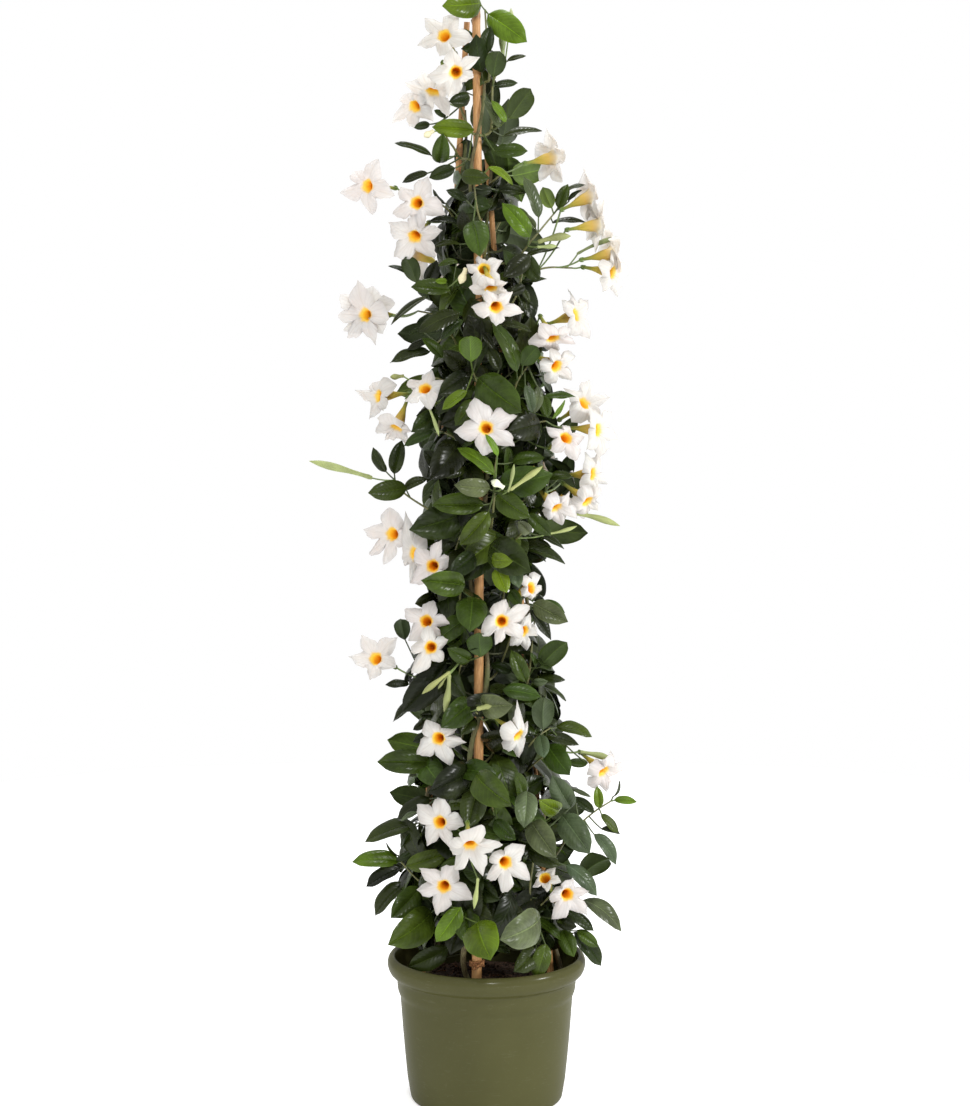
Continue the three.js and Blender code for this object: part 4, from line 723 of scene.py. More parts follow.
CANES = {
    "front": Cane((-11, -76), spot(476, 4, 0.2), (3, 0), (5.6, 4.4)),
    "left": Cane((-71, 30), spot(467, 22, -0.4), (-4, 4), (4.4, 3.2)),
    "right": Cane((72, 28), spot(478, 33, -0.1), (-1, 4), (4.1, 2.9)),
}
FOOT = SOIL_LEVEL - VINE_ROOT_DEPTH
VINES = {
    "front": Vine(CANES["front"], 0.9, 5.2, FOOT, 1185, 10),
    "left": Vine(CANES["left"], 4.2, 4.5, FOOT, 1090, 12),
    "right": Vine(CANES["right"], 2.4, 5, FOOT, 1135, 12),
    "inner": Vine(CANES["right"], 5.54, 3.15, FOOT, 755, 5),
}


# Shaders.
class Shader:
    """A material with one principled shader, and short words for the nodes that feed it."""

    def __init__(self, name, **settings):
        self.material = bpy.data.materials.new(name)
        self.material.use_nodes = True
        self.tree = self.material.node_tree
        self.surface = self.tree.nodes["Principled BSDF"]
        for socket, value in settings.items():
            self.surface.inputs[socket.replace("_", " ")].default_value = value

    def node(self, kind, inputs=(), **settings):
        made = self.tree.nodes.new("ShaderNode" + kind)
        for key, value in settings.items():
            setattr(made, key, value)
        for key, value in dict(inputs).items():
            if isinstance(value, bpy.types.NodeSocket):
                self.tree.links.new(value, made.inputs[key])
            else:
                made.inputs[key].default_value = value
        return made

    def math(self, operation, first, second=0.0):
        return self.node("Math", {0: first, 1: second}, operation=operation).outputs[0]

    def times(self, value, factor):
        return self.math("MULTIPLY", value, factor)

    def plus(self, value, other, share=1.0):
        """A value with a share of another added."""
        return self.math("ADD", value, other if share == 1 else self.times(other, share))

    def mark(self):
        """The three numbers of a vertex's mark."""
        vector = self.node("Attribute", attribute_name="mark").outputs["Vector"]
        first, second, third = self.node("SeparateXYZ", {0: vector}).outputs
        return first, second, third

    def noise(self, scale, detail=3.0, stretch=None, roughness=0.5):
        place = self.node("TexCoord").outputs["Object"]
        if stretch:
            place = self.node("Mapping", {"Vector": place, "Scale": stretch}).outputs[0]
        inputs = {"Vector": place, "Scale": scale, "Detail": detail, "Roughness": roughness}
        return self.node("TexNoise", inputs).outputs["Fac"]

    def grey(self, level):
        return self.node("CombineColor", {0: level, 1: level, 2: level}).outputs[0]

    def fade(self, value, low, high, start=0.0, end=1.0):
        inputs = {0: value, 1: low, 2: high, 3: start, 4: end}
        return self.node("MapRange", inputs, interpolation_type="SMOOTHSTEP").outputs[0]

    def mix(self, factor, first, second, blend="MIX"):
        inputs = {0: factor, 6: first, 7: second}
        return self.node("Mix", inputs, data_type="RGBA", blend_type=blend).outputs[2]

    def tinted(self, colour):
        tint = self.node("Attribute", attribute_name="tint").outputs["Color"]
        return self.mix(1.0, tint, colour, "MULTIPLY")

    def ramp(self, factor, *stops):
        made = self.node("ValToRGB", {0: factor})
        elements = made.color_ramp.elements
        for place, _ in stops[2:]:
            elements.new(place)
        for element, (place, colour) in zip(elements, stops):
            element.position = place
            element.color = (*colour, 1)
        return made.outputs[0]

    def finish(self, colour, roughness=None, height=None, strength=0.3, distance=0.0005):
        links = self.tree.links
        links.new(colour, self.surface.inputs["Base Color"])
        if roughness is not None:
            links.new(roughness, self.surface.inputs["Roughness"])
        if height is not None:
            inputs = {"Height": height, "Strength": strength, "Distance": distance}
            bump = self.node("Bump", inputs)
            links.new(bump.outputs[0], self.surface.inputs["Normal"])
        return self.material


def rgb(r, g, b):
    return (r, g, b, 1)


def leaf_material():
    """A glossy blade: a paler midrib, arching side veins, mottled green, and a matt underside."""
    s = Shader("leaf_blade", Specular_IOR_Level=0.17)
    across, along, under = s.mark()
    off = s.math("ABSOLUTE", across)
    rib = s.fade(off, 0.015, 0.06, 1, 0)
    wave = s.math("FRACT", s.math("SUBTRACT", s.times(along, 9.5), s.times(off, 2.6)))
    wave = s.math("ABSOLUTE", s.math("SUBTRACT", wave, 0.5))
    veins = s.times(s.fade(wave, 0.0, 0.10, 1, 0), s.fade(off, 0.75, 0.98, 1, 0))
    mottle = s.fade(s.noise(46, 4.0), 0.3, 0.7, 0.70, 1.30)
    shade = s.plus(s.plus(mottle, veins, 0.30), rib, 1.1)
    shade = s.plus(shade, s.fade(off, 0.88, 1.0, 0, 0.35))
    green = s.tinted(s.grey(shade))
    aged = s.fade(s.noise(17, 3.0), 0.5, 0.75, 0, 0.35)
    green = s.mix(aged, green, rgb(0.045, 0.060, 0.012))
    below = s.mix(0.35, green, rgb(0.075, 0.100, 0.050))
    gloss = s.fade(s.noise(60, 3.0), 0.3, 0.7, 0.22, 0.36)
    quilt = s.times(s.fade(wave, 0.0, 0.5, 0, 1), 0.55)
    height = s.plus(s.plus(quilt, rib, -0.9), s.noise(900, 2.0), 0.12)
    return s.finish(s.mix(under, green, below), s.plus(gloss, under, 0.25), height, 0.35, 0.0006)


def corolla_material():
    """White lobes with a faint blush and fine rays, a golden throat that deepens to orange brown,
    and a tube that turns from green at its foot to orange at its mouth."""
    s = Shader(
        "corolla",
        Subsurface_Weight=0.5,
        Subsurface_Scale=0.004,
        Subsurface_Radius=(1.0, 0.85, 0.75),
        Specular_IOR_Level=0.12,
    )
    x, y, outer = s.mark()
    cloud = s.noise(55, 3.0)
    streak = s.math("SINE", s.plus(s.times(x, 24.0), cloud, 7.0))
    blush = s.fade(cloud, 0.35, 0.7, 0.0, 0.7)
    white = s.mix(blush, rgb(0.585, 0.555, 0.515), rgb(0.56, 0.50, 0.46))
    white = s.mix(s.fade(streak, 0.3, 1.0, 0, 0.20), white, rgb(0.44, 0.39, 0.36))
    rib = s.fade(s.math("ABSOLUTE", x), 0.0, 0.10, 0.30, 0)
    white = s.mix(rib, white, rgb(0.42, 0.38, 0.32))
    lobes = s.mix(s.fade(y, 0.0, 0.16, 1, 0), white, rgb(0.80, 0.52, 0.08))
    depth = s.times(y, -1.0)
    # The throat's gold to orange is its own colour; its darkening to orange brown deep inside is
    # painted shade.
    throat = s.ramp(
        depth,
        (0.0, (0.86, 0.60, 0.10)),
        (0.16, (0.88, 0.50, 0.03)),
        (0.45, (0.82, 0.33, 0.008)),
        (1.0, (0.55, 0.16, 0.0)),
    )
    tube = s.ramp(
        depth,
        (0.0, (0.60, 0.50, 0.30)),
        (0.2, (0.58, 0.40, 0.10)),
        (0.5, (0.42, 0.33, 0.05)),
        (0.75, (0.22, 0.24, 0.05)),
        (1.0, (0.09, 0.14, 0.03)),
    )
    above = s.mix(s.fade(y, -0.02, 0.02), throat, lobes)
    # The lobes' backs are paler than their faces: painted light, which lifts the shade on the backs
    # of turned-away flowers.
    painted_light_backs = s.mix(0.6, white, rgb(0.74, 0.69, 0.62))
    below = s.mix(s.fade(y, -0.05, 0.25), tube, painted_light_backs)
    height = s.plus(s.times(streak, 0.35), s.noise(260, 3.0))
    roughness = s.fade(s.noise(90), 0.3, 0.7, 0.46, 0.62)
    return s.finish(s.tinted(s.mix(outer, above, below)), roughness, height, 0.3, 0.0005)


def growth_material(name, low, high, scale):
    """Green skin of twigs, stalks and buds: the tint, streaked along and mottled."""
    s = Shader(name, Specular_IOR_Level=0.4)
    round_share, along, _ = s.mark()
    rays = s.math("SINE", s.plus(s.times(round_share, 31.4), along, 9.0))
    mottle = s.fade(s.noise(scale, 4.0), 0.3, 0.7, low, high)
    colour = s.tinted(s.grey(s.plus(mottle, rays, 0.06)))
    height = s.plus(s.times(rays, 0.3), s.noise(700, 2.0))
    return s.finish(colour, s.fade(s.noise(150), 0.3, 0.7, 0.36, 0.55), height, 0.25, 0.0003)


def bark_material():
    """Young bark: brown with green showing through, and rough along its length."""
    s = Shader("stem_bark", Specular_IOR_Level=0.3)
    grain = s.noise(60, 5.0, (14, 14, 2.5), 0.65)
    colour = s.ramp(
        grain,
        (0.3, (0.040, 0.030, 0.014)),
        (0.5, (0.105, 0.085, 0.038)),
        (0.75, (0.20, 0.18, 0.085)),
    )
    colour = s.mix(s.fade(s.noise(22, 4.0), 0.45, 0.65, 0, 0.6), colour, rgb(0.10, 0.14, 0.04))
    height = s.plus(grain, s.noise(900, 3.0), 0.4)
    return s.finish(colour, s.fade(grain, 0.3, 0.7, 0.55, 0.8), height, 0.6, 0.0006)


def bamboo_material():
    """Tan cane: fine long fibres, warm blotches, and darker bands at the joints."""
    s = Shader("bamboo", Coat_Weight=0.08, Coat_Roughness=0.3, Specular_IOR_Level=0.35)
    _, joint, cut = s.mark()
    fibre = s.noise(160, 5.0, (9, 9, 0.35), 0.6)
    blotch = s.noise(16, 5.0, (3, 3, 1), 0.6)
    colour = s.ramp(
        fibre,
        (0.3, (0.30, 0.135, 0.045)),
        (0.5, (0.46, 0.235, 0.085)),
        (0.7, (0.62, 0.37, 0.16)),
    )
    colour = s.mix(s.fade(blotch, 0.48, 0.68, 0, 0.65), colour, rgb(0.22, 0.075, 0.022))
    colour = s.mix(s.fade(blotch, 0.25, 0.40, 0.35, 0), colour, rgb(0.62, 0.46, 0.24))
    colour = s.mix(s.times(joint, 0.7), colour, rgb(0.10, 0.045, 0.018))
    colour = s.mix(cut, colour, rgb(0.42, 0.30, 0.17))
    height = s.plus(fibre, blotch, 0.5)
    return s.finish(colour, s.fade(blotch, 0.3, 0.7, 0.42, 0.6), height, 0.35, 0.0005)


def pot_material():
    """Olive nursery plastic: satin, with faint moulding rings, specks and handling marks."""
    s = Shader("pot_plastic", Specular_IOR_Level=0.0, Coat_Weight=0.24, Coat_Roughness=0.2)
    place = s.node("TexCoord").outputs["Object"]
    height_at = s.node("SeparateXYZ", {0: place}).outputs[2]
    rings = s.math("SINE", s.times(height_at, 5200.0))
    cloud = s.noise(9, 5.0)
    dust = s.noise(420, 3.0)
    scuff = s.noise(60, 6.0, (1, 1, 9), 0.7)
    colour = s.ramp(cloud, (0.3, (0.053, 0.052, 0.0175)), (0.7, (0.065, 0.064, 0.0225)))
    colour = s.mix(s.fade(dust, 0.62, 0.72, 0, 0.08), colour, rgb(0.16, 0.155, 0.10))
    colour = s.mix(s.fade(scuff, 0.58, 0.72, 0, 0.2), colour, rgb(0.17, 0.165, 0.11))
    height = s.plus(s.plus(s.times(rings, 0.08), dust, 0.35), scuff, 0.3)
    roughness = s.fade(s.plus(cloud, scuff, 0.4), 0.4, 0.9, 0.40, 0.56)
    return s.finish(colour, roughness, height, 0.22, 0.0003)


def soil_material():
    """Peaty soil: near-black crumbs, brown fibre and a few pale grains."""
    s = Shader("soil_mix", Specular_IOR_Level=0.2)
    crumbs = s.noise(240, 6.0, None, 0.7)
    fibre = s.noise(500, 4.0, (1, 0.25, 1), 0.7)
    colour = s.ramp(
        crumbs,
        (0.32, (0.012, 0.007, 0.004)),
        (0.5, (0.040, 0.022, 0.013)),
        (0.68, (0.105, 0.060, 0.034)),
    )
    colour = s.mix(s.fade(fibre, 0.60, 0.70, 0, 0.6), colour, rgb(0.20, 0.10, 0.055))
    height = s.plus(crumbs, fibre, 0.5)
    return s.finish(s.tinted(colour), s.fade(crumbs, 0.3, 0.7, 0.75, 0.95), height, 0.9, 0.0012)


def twine_material():
    """Rusty twine: twisted strands with loose fibres."""
    s = Shader("twine", Specular_IOR_Level=0.2)
    round_share, along, _ = s.mark()
    twist = s.math("SINE", s.plus(s.times(round_share, 18.8), along, 2.2))
    fuzz = s.noise(800, 4.0)
    colour = s.ramp(fuzz, (0.3, (0.16, 0.060, 0.022)), (0.7, (0.46, 0.22, 0.09)))
    # Painted shade: the grooves between the twisted strands are darkened towards near black.
    colour = s.mix(s.fade(twist, -1.0, 0.0, 0.5, 0), colour, rgb(0.07, 0.03, 0.015))
    height = s.plus(s.times(twist, 0.5), fuzz)
    return s.finish(colour, s.fade(fuzz, 0.3, 0.7, 0.75, 0.92), height, 0.7, 0.0006)


def floor_material():
    s = Shader(
        "floor",
        Roughness=0.9,
        Specular_IOR_Level=0.1,
        Emission_Color=(1, 1, 1, 1),
        Emission_Strength=0.35,
    )
    return s.finish(s.ramp(s.noise(1.2, 2.0), (0.3, (0.90,) * 3), (0.7, (0.92,) * 3)))


MATERIALS = {
    "blade": leaf_material(),
    "corolla": corolla_material(),
    "twig": growth_material("twig_skin", 0.75, 1.2, 120),
    "bud": growth_material("bud_skin", 0.85, 1.12, 70),
    "bark": bark_material(),
    "bamboo": bamboo_material(),
    "pot": pot_material(),
    "soil": soil_material(),
    "twine": twine_material(),
}


# Shapes.
class Piece:
    """Closed surfaces of one or more materials gathered into one mesh. Each vertex has a mark,
    which says where on its surface it is, and a tint."""

    def __init__(self):
        self.points, self.faces, self.marks, self.tints = [], [], [], []
        self.kinds, self.kind_of_face = [], []

    def add(self, points, faces, kind, marks, tint):
        points = np.asarray(points, float).reshape(-1, 3)
        start = sum(len(group) for group in self.points)
        if kind not in self.kinds:
            self.kinds.append(kind)
        self.points.append(points)
        self.faces.extend([tuple(start + i for i in face) for face in faces])
        self.kind_of_face.extend([self.kinds.index(kind)] * len(faces))
        self.marks.append(np.asarray(marks, float).reshape(-1, 3))
        self.tints.append(np.tile([*tint, 1.0], (len(points), 1)))

    def build(self, name, slot, node, crease=50):
        mesh = bpy.data.meshes.new(name)
        mesh.from_pydata((np.concatenate(self.points) * MM).tolist(), [], self.faces)
        for kind in self.kinds:
            mesh.materials.append(MATERIALS[kind])
        mesh.polygons.foreach_set("material_index", self.kind_of_face)
        mesh.polygons.foreach_set("use_smooth", [True] * len(self.faces))
        marks = mesh.attributes.new("mark", "FLOAT_VECTOR", "POINT")
        marks.data.foreach_set("vector", np.concatenate(self.marks).astype(np.float32).ravel())
        tints = mesh.attributes.new("tint", "FLOAT_COLOR", "POINT")
        tints.data.foreach_set("color", np.concatenate(self.tints).astype(np.float32).ravel())
        mesh.set_sharp_from_angle(angle=math.radians(crease))
        mesh.update()
        return seat(mesh, name, node)


def add_object(name, data):
    made = bpy.data.objects.new(name, data)
    bpy.context.scene.collection.objects.link(made)
    return made


def seat(mesh, name, node):
    made = add_object(name, mesh)
    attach(made, "root")
    if node:
        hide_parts(node)
    return made


def tube_rings(points, radii, sides, ridge=0.0, twist=0.0):
    """Rings round a line of points, carried along it without spin, as an array of rings."""
    points = np.asarray(points, float)
    run = np.gradient(points, axis=0)
    run /= np.linalg.norm(run, axis=1)[:, None]
    side = unit(np.cross(run[0], (0.3, -0.9, 0.2)))
    angles = 2 * math.pi * np.arange(sides) / sides
    rings = []
    for i, (centre, radius) in enumerate(zip(points, radii)):
        side = unit(side - run[i] * np.dot(side, run[i]))
        other = np.cross(run[i], side)
        reach = radius * (1 + ridge * np.cos(5 * angles + twist * i))
        ring = np.outer(np.cos(angles) * reach, side) + np.outer(np.sin(angles) * reach, other)
        rings.append(centre + ring)
    return np.array(rings)


def ring_faces(count, sides):
    """The faces of a closed skin over rings, with a flat face at each end."""
    faces = []
    for low in range(0, (count - 1) * sides, sides):
        for j in range(sides):
            after = (j + 1) % sides
            faces.append((low + j, low + after, low + sides + after, low + sides + j))
    last = (count - 1) * sides
    faces.append(tuple(reversed(range(sides))))
    faces.append(tuple(last + j for j in range(sides)))
    return faces


def tube_marks(points, sides):
    """Marks of the share round a tube and the length along it in millimetres."""
    steps = np.linalg.norm(np.diff(np.asarray(points, float), axis=0), axis=1)
    along = np.concatenate([[0], np.cumsum(steps)])
    marks = np.zeros((len(along), sides, 3))
    marks[:, :, 0] = np.arange(sides) / sides
    marks[:, :, 1] = along[:, None]
    return marks


def add_tube(piece, points, radii, sides, kind, tint, ridge=0.0, twist=0.0):
    rings = tube_rings(points, radii, sides, ridge, twist)
    piece.add(rings, ring_faces(len(rings), sides), kind, tube_marks(points, sides), tint)


def quads(grid):
    corners = [grid[:-1, :-1], grid[:-1, 1:], grid[1:, 1:], grid[1:, :-1]]
    return np.stack(corners, -1).reshape(-1, 4)


def slab(middle, marks, thick):
    """A thin closed skin either side of a grid of points, which meets itself round the edge."""
    rows, columns = middle.shape[:2]
    along = np.gradient(middle, axis=0)
    wide = np.gradient(middle, axis=1)
    normals = np.cross(wide, along)
    normals /= np.maximum(np.linalg.norm(normals, axis=2), 1e-9)[:, :, None]
    inner = np.zeros((rows, columns, 1))
    inner[1:-1, 1:-1] = thick / 2
    top = (middle + normals * inner).reshape(-1, 3)
    bottom = (middle - normals * inner)[1:-1, 1:-1].reshape(-1, 3)
    index = np.arange(rows * columns).reshape(rows, columns)
    below = index.copy()
    inside = np.arange((rows - 2) * (columns - 2)).reshape(rows - 2, -1)
    below[1:-1, 1:-1] = rows * columns + inside
    faces = quads(index).tolist() + quads(below)[:, ::-1].tolist()
    under = marks[1:-1, 1:-1].reshape(-1, 3).copy()
    under[:, 2] = 1
    return np.vstack([top, bottom]), faces, np.vstack([marks.reshape(-1, 3), under])


def curved(start, end, lean, bulge, count):
    """Points from start to end along an arc that bulges towards lean."""
    shares = np.linspace(0, 1, count)[:, None]
    return start + (end - start) * shares + np.asarray(lean) * bulge * 4 * shares * (1 - shares)


# Half the blade's width along its length, as a share of the widest.
BLADE = (
    (0.0, 0.035),
    (0.04, 0.32),
    (0.10, 0.60),
    (0.20, 0.85),
    (0.34, 0.98),
    (0.48, 1.0),
    (0.62, 0.95),
    (0.75, 0.80),
    (0.85, 0.58),
    (0.91, 0.36),
    (0.945, 0.18),
    (0.97, 0.07),
    (1.0, 0.01),
)
BLADE_ROWS = 17
BLADE_COLUMNS = 9
BLADE_THICK = 0.5
TWIG_TINT = (0.13, 0.13, 0.045)
LEAF_STALK_TINT = (0.08, 0.11, 0.03)
BUD_STALK_TINT = (0.15, 0.21, 0.06)
SEPAL_TINT = (0.12, 0.18, 0.04)
FLOWER_STALK_TINT = (0.12, 0.17, 0.05)


def vary(tone, seed):
    """A tone's colour, a little lighter or yellower from leaf to leaf."""
    light = 0.8 + 0.45 * scatter(seed + 0.11)
    warm = 0.9 + 0.25 * scatter(seed + 0.37)
    r, g, b = tone
    return (r * light * warm, g * light, b * light * (2 - warm))


def add_blade(piece, item, tint, seed, rows, columns):
    """A leaf blade, arched along its length, folded and crowned across it, and rippled at its
    edges, each by an amount that the seed sets."""
    base, half, across = item["base"], item["half"], item["across"]
    run = unit(item["tip"] - base)
    length = np.linalg.norm(item["tip"] - base)
    outward = unit(unit(base * (1, 1, 0)) + UP)
    if np.dot(np.cross(across, run), outward) < 0:
        across = -across
    face = np.cross(across, run)
    shares = np.linspace(0, 1, rows)
    shares = shares + 0.035 * np.sin(2 * math.pi * shares)
    wide = np.interp(shares, *zip(*BLADE)) * half
    sides = np.linspace(-1, 1, columns)
    arch = length * (0.04 + 0.10 * scatter(seed + 0.2))
    fold = half * (0.38 * scatter(seed + 0.4) - 0.06)
    crown = half * (0.10 + 0.12 * scatter(seed + 0.3))
    ripple = half * (0.02 + 0.07 * scatter(seed + 0.6))
    sweep = length * 0.05 * (scatter(seed + 0.1) - 0.5)
    phase = 2 * math.pi * scatter(seed + 0.8)
    bow = arch * 4 * shares * (1 - shares) * (1.15 - 0.3 * shares)
    middle = base + np.outer(shares * length, run) + np.outer(bow, face)
    middle = middle + np.outer(sweep * 4 * shares * (1 - shares), across)
    spread, off = wide / max(half, 1e-6), np.abs(sides)
    lift = np.outer(spread, off) * fold
    lift = lift + np.outer(spread, 4 * off * (1 - off)) * crown
    wave = np.outer(np.sin(shares * 11 + phase), off**2 * np.sign(sides)) * ripple
    grid = middle[:, None, :] + np.outer(wide, sides)[:, :, None] * across
    grid = grid + (lift + wave)[:, :, None] * face
    marks = np.zeros((*grid.shape[:2], 3))
    marks[:, :, 0] = sides
    marks[:, :, 1] = shares[:, None]
    points, faces, marks = slab(grid, marks, BLADE_THICK)
    piece.add(points, faces, "blade", marks, tint)


def add_leaf(piece, item, start, seed):
    tint = vary(TONES[item["tone"]], seed)
    add_blade(piece, item, tint, seed, BLADE_ROWS, BLADE_COLUMNS)
    base = item["base"]
    run = unit(item["tip"] - base)
    stalk = curved(start, base + run * 1.5, -UP, 0.04 * np.linalg.norm(base - start), 6)
    green = tuple(0.5 * a + 0.5 * b for a, b in zip(tint, LEAF_STALK_TINT))
    add_tube(piece, stalk, np.linspace(0.95, 0.75, 6), 6, "twig", green)


# A bud's radius along its length, as a share of its widest.
BUD = (
    (0.0, 0.45),
    (0.06, 0.62),
    (0.14, 0.50),
    (0.35, 0.60),
    (0.55, 0.92),
    (0.7, 1.0),
    (0.85, 0.72),
    (0.96, 0.25),
    (1.0, 0.04),
)
BUD_LEAST_RADIUS = 1.3
BUD_ROWS = 20


def add_bud(piece, item, start, seed):
    """A bud with five twisted ridges, on its stalk."""
    base, tip = item["base"], item["tip"]
    run = unit(tip - base)
    bow = turned(unit(np.cross(tip - base, UP)), run, 6.28 * scatter(seed))
    line = curved(base, tip, bow, 0.04 * np.linalg.norm(tip - base), BUD_ROWS)
    radii = np.interp(np.linspace(0, 1, BUD_ROWS), *zip(*BUD))
    radii = radii * max(BUD_LEAST_RADIUS, item["half"])
    add_tube(piece, line, radii, 12, "bud", vary(BUD_TONES[item["tone"]], seed), 0.05, 0.3)
    stalk = curved(start, base + run, -UP, 0.05 * np.linalg.norm(base - start), 6)
    add_tube(piece, stalk, np.full(6, 0.8), 6, "twig", BUD_STALK_TINT)


# A lobe's outline: the share of the way round from the notch before it (-1) through its tip (0)
# to the notch after it (1), and how far out it lies on a narrow lobe and on a full one.
LOBE = (
    (-1.0, 0.52, 0.52),
    (-0.86, 0.56, 0.60),
    (-0.64, 0.62, 0.70),
    (-0.36, 0.73, 0.82),
    (-0.15, 0.87, 0.93),
    (0.0, 1.0, 1.0),
    (0.12, 0.91, 0.97),
    (0.30, 0.84, 0.93),
    (0.52, 0.77, 0.88),
    (0.74, 0.70, 0.81),
    (0.90, 0.63, 0.72),
    (0.97, 0.57, 0.61),
)
LOBE_ROWS = (0.0, 0.14, 0.3, 0.47, 0.63, 0.78, 0.9, 1.0)
LOBE_THICK = 0.5
MOUTH = 5.9
# How far behind the face a ring lies, and its radius.
TUBE_OUTSIDE = ((36, 1.2), (34, 1.8), (29, 1.8), (23, 2.2), (18, 3.4), (13, 4.9), (8, 6.0), (3, 6.5))
TUBE_INSIDE = ((1.5, 5.3), (4, 4.7), (8, 3.9), (12, 3.0), (16, 1.6))


def corolla_outline(rays, seed):
    """The edge of five fused lobes as points from the centre, and each one's place on its lobe."""
    reaches = [np.linalg.norm(ray) for ray in rays]
    heads = [ray / reach for ray, reach in zip(rays, reaches)]
    edge, places = [], []
    for i in range(5):
        after = (i + 1) % 5
        fulness = (scatter(seed + 0.13 * i), scatter(seed + 0.13 * i + 0.06))
        for place, narrow, full in LOBE:
            share = narrow + (full - narrow) * fulness[0 if place < 0 else 1]
            share = share + 0.02 * math.sin(13 * place + 2 * i + seed)
            share = share + 0.014 * math.sin(31 * place + seed)
            near = i - 1 if place < 0 else after
            notch = unit(heads[i] + heads[near])
            way = abs(place)
            head = unit(heads[i] * (1 - way) + notch * way)
            reach = reaches[i] * (1 - way / 2) + reaches[near] * way / 2
            edge.append(head * reach * share)
            places.append(place)
    return np.array(edge), np.array(places)


def add_flower(piece, item, start, seed):
    """One closed skin: up the outside of the tube, under the lobes, over them and down the throat."""
    centre, normal, tips = item["centre"], item["normal"], item["tips"]
    turn = np.dot(np.cross(tips[0] - centre, tips[1] - centre), normal)
    rays = [tip - centre for tip in (tips if turn > 0 else tips[::-1])]
    axis = unit(-normal + 0.5 * unit(start - centre))
    edge, places = corolla_outline(rays, seed)
    flat = edge - np.outer(edge @ normal, normal)
    flat /= np.linalg.norm(flat, axis=1)[:, None]
    back = edge - np.outer(edge @ axis, axis)
    back /= np.linalg.norm(back, axis=1)[:, None]
    size = np.mean([np.linalg.norm(ray) for ray in rays])
    curl = 0.4 + 1.2 * scatter(seed)
    phase = 6.28 * scatter(seed + 0.5)
    lobe = np.repeat(np.arange(5), len(LOBE))
    bounded = 1 - np.abs(places) ** 3

    def tube_ring(depth, radius):
        share = min(1, depth / 10)
        heads = flat * (1 - share) + back * share
        heads /= np.linalg.norm(heads, axis=1)[:, None]
        return centre + axis * depth + heads * radius

    def lobe_ring(share, side):
        lip = centre + flat * MOUTH - normal * 0.6
        lift = size * (0.10 * math.sin(math.pi * share**0.8) - 0.07 * curl * share**3)
        lift = lift + 0.9 * share * np.where(places > 0.7, 1, 0)
        lift = lift + size * 0.11 * share**2 * places * bounded
        lift = lift - size * 0.07 * share**2 * places**2 * bounded * curl
        lift = lift - 0.5 * share * (1 - share) * np.exp(-((places / 0.15) ** 2)) * 4
        lift = lift + size * 0.07 * share**2 * np.sin(3.6 * places + 2.1 * lobe + phase)
        lift = lift + side * LOBE_THICK / 2 * min(1, 3 * (1 - share))
        return lip * (1 - share) + (centre + edge) * share + np.outer(lift, normal)

    rows = [(tube_ring(*row), -row[0] / TRUMPET_LENGTH, 1) for row in TUBE_OUTSIDE]
    rows += [(lobe_ring(share, -1), share, 1) for share in LOBE_ROWS[1:-1]]
    rows += [(lobe_ring(share, 1), share, 0) for share in LOBE_ROWS[::-1]]
    rows += [(tube_ring(*row), -row[0] / TUBE_INSIDE[-1][0], 0) for row in TUBE_INSIDE]
    rings, heights, outer = (np.array(column) for column in zip(*rows))
    marks = np.zeros(rings.shape)
    marks[:, :, 0] = places
    marks[:, :, 1] = heights[:, None]
    marks[:, :, 2] = outer[:, None]
    fresh = 0.94 + 0.08 * scatter(seed + 0.7)
    tint = (fresh, fresh * (0.97 + 0.04 * scatter(seed + 0.9)), fresh)
    piece.add(rings, ring_faces(len(rings), len(places)), "corolla", marks, tint)
    tail = centre + axis * TRUMPET_LENGTH
    for i in range(5):
        spread = turned(unit(np.cross(axis, (0.2, 0.3, 0.9))), axis, 1.257 * i)
        foot = tail + spread
        sepal = curved(foot, foot - axis * 5 + spread * 1.6, spread, 0.4, 5)
        add_tube(piece, sepal, (0.8, 0.9, 0.7, 0.45, 0.1), 5, "twig", SEPAL_TINT)
    stalk = curved(start, tail - axis, -UP, 0.08 * np.linalg.norm(tail - start), 8)
    add_tube(piece, stalk, np.linspace(0.8, 1.0, 8), 6, "twig", FLOWER_STALK_TINT)


GROW = {"leaf": add_leaf, "bud": add_bud, "flower": add_flower}
# How near the corners of a twig's foot lie to its stem's skin and to its own, and how many.
FOOT_DEPTH = 0.75
FOOT_WIDTH = 0.25
FOOT_CORNERS = 3
# Rings of a twig for each point of its line.
TWIG_ROWS = 6


def perches():
    """Every place along the stems where a twig could start."""
    found = []
    for vine in VINES.values():
        count = round(vine.curve.length / PERCH_SPACING)
        shares = np.arange(3, count) / count
        radii = [vine.radius_at(share) for share in shares]
        found += zip(vine.curve.at(shares), vine.curve.tangent(shares), radii)
    return found


def root_of(spray, places):
    """Where the spray's solid leaves its stem, and its twig's shoulder: at the nearest place along
    the stems that has the corners of the twig's foot about it, or else at the nearest of all."""
    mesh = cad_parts[spray["name"]].data
    corners = np.zeros(3 * len(mesh.vertices))
    mesh.vertices.foreach_get("co", corners)
    corners = np.unique(np.round(corners.reshape(-1, 3) / MM, 3), axis=0)
    first = spray["stalk"][0]

    def cost(place):
        return np.linalg.norm(place[0] - first) + 0.6 * max(0, place[0][2] - first[2])

    nearest = sorted(places, key=cost)[:PERCH_TRIES]
    for point, tangent, radius in nearest:
        outward = first - point
        outward = unit(outward - tangent * np.dot(outward, tangent))
        reach = corners - point
        along = reach @ outward
        off = np.linalg.norm(reach - np.outer(along, outward), axis=1)
        foot = np.abs(along - radius) < FOOT_DEPTH
        foot = foot & (np.abs(off - TWIG_RADIUS) < FOOT_WIDTH)
        if foot.sum() >= FOOT_CORNERS:
            root = point + outward * along[foot].mean()
            return root, root + outward * TWIG_SHOULDER
    point, _, radius = nearest[0]
    outward = unit(first - point)
    return point + outward * radius, point + outward * (radius + TWIG_SHOULDER)


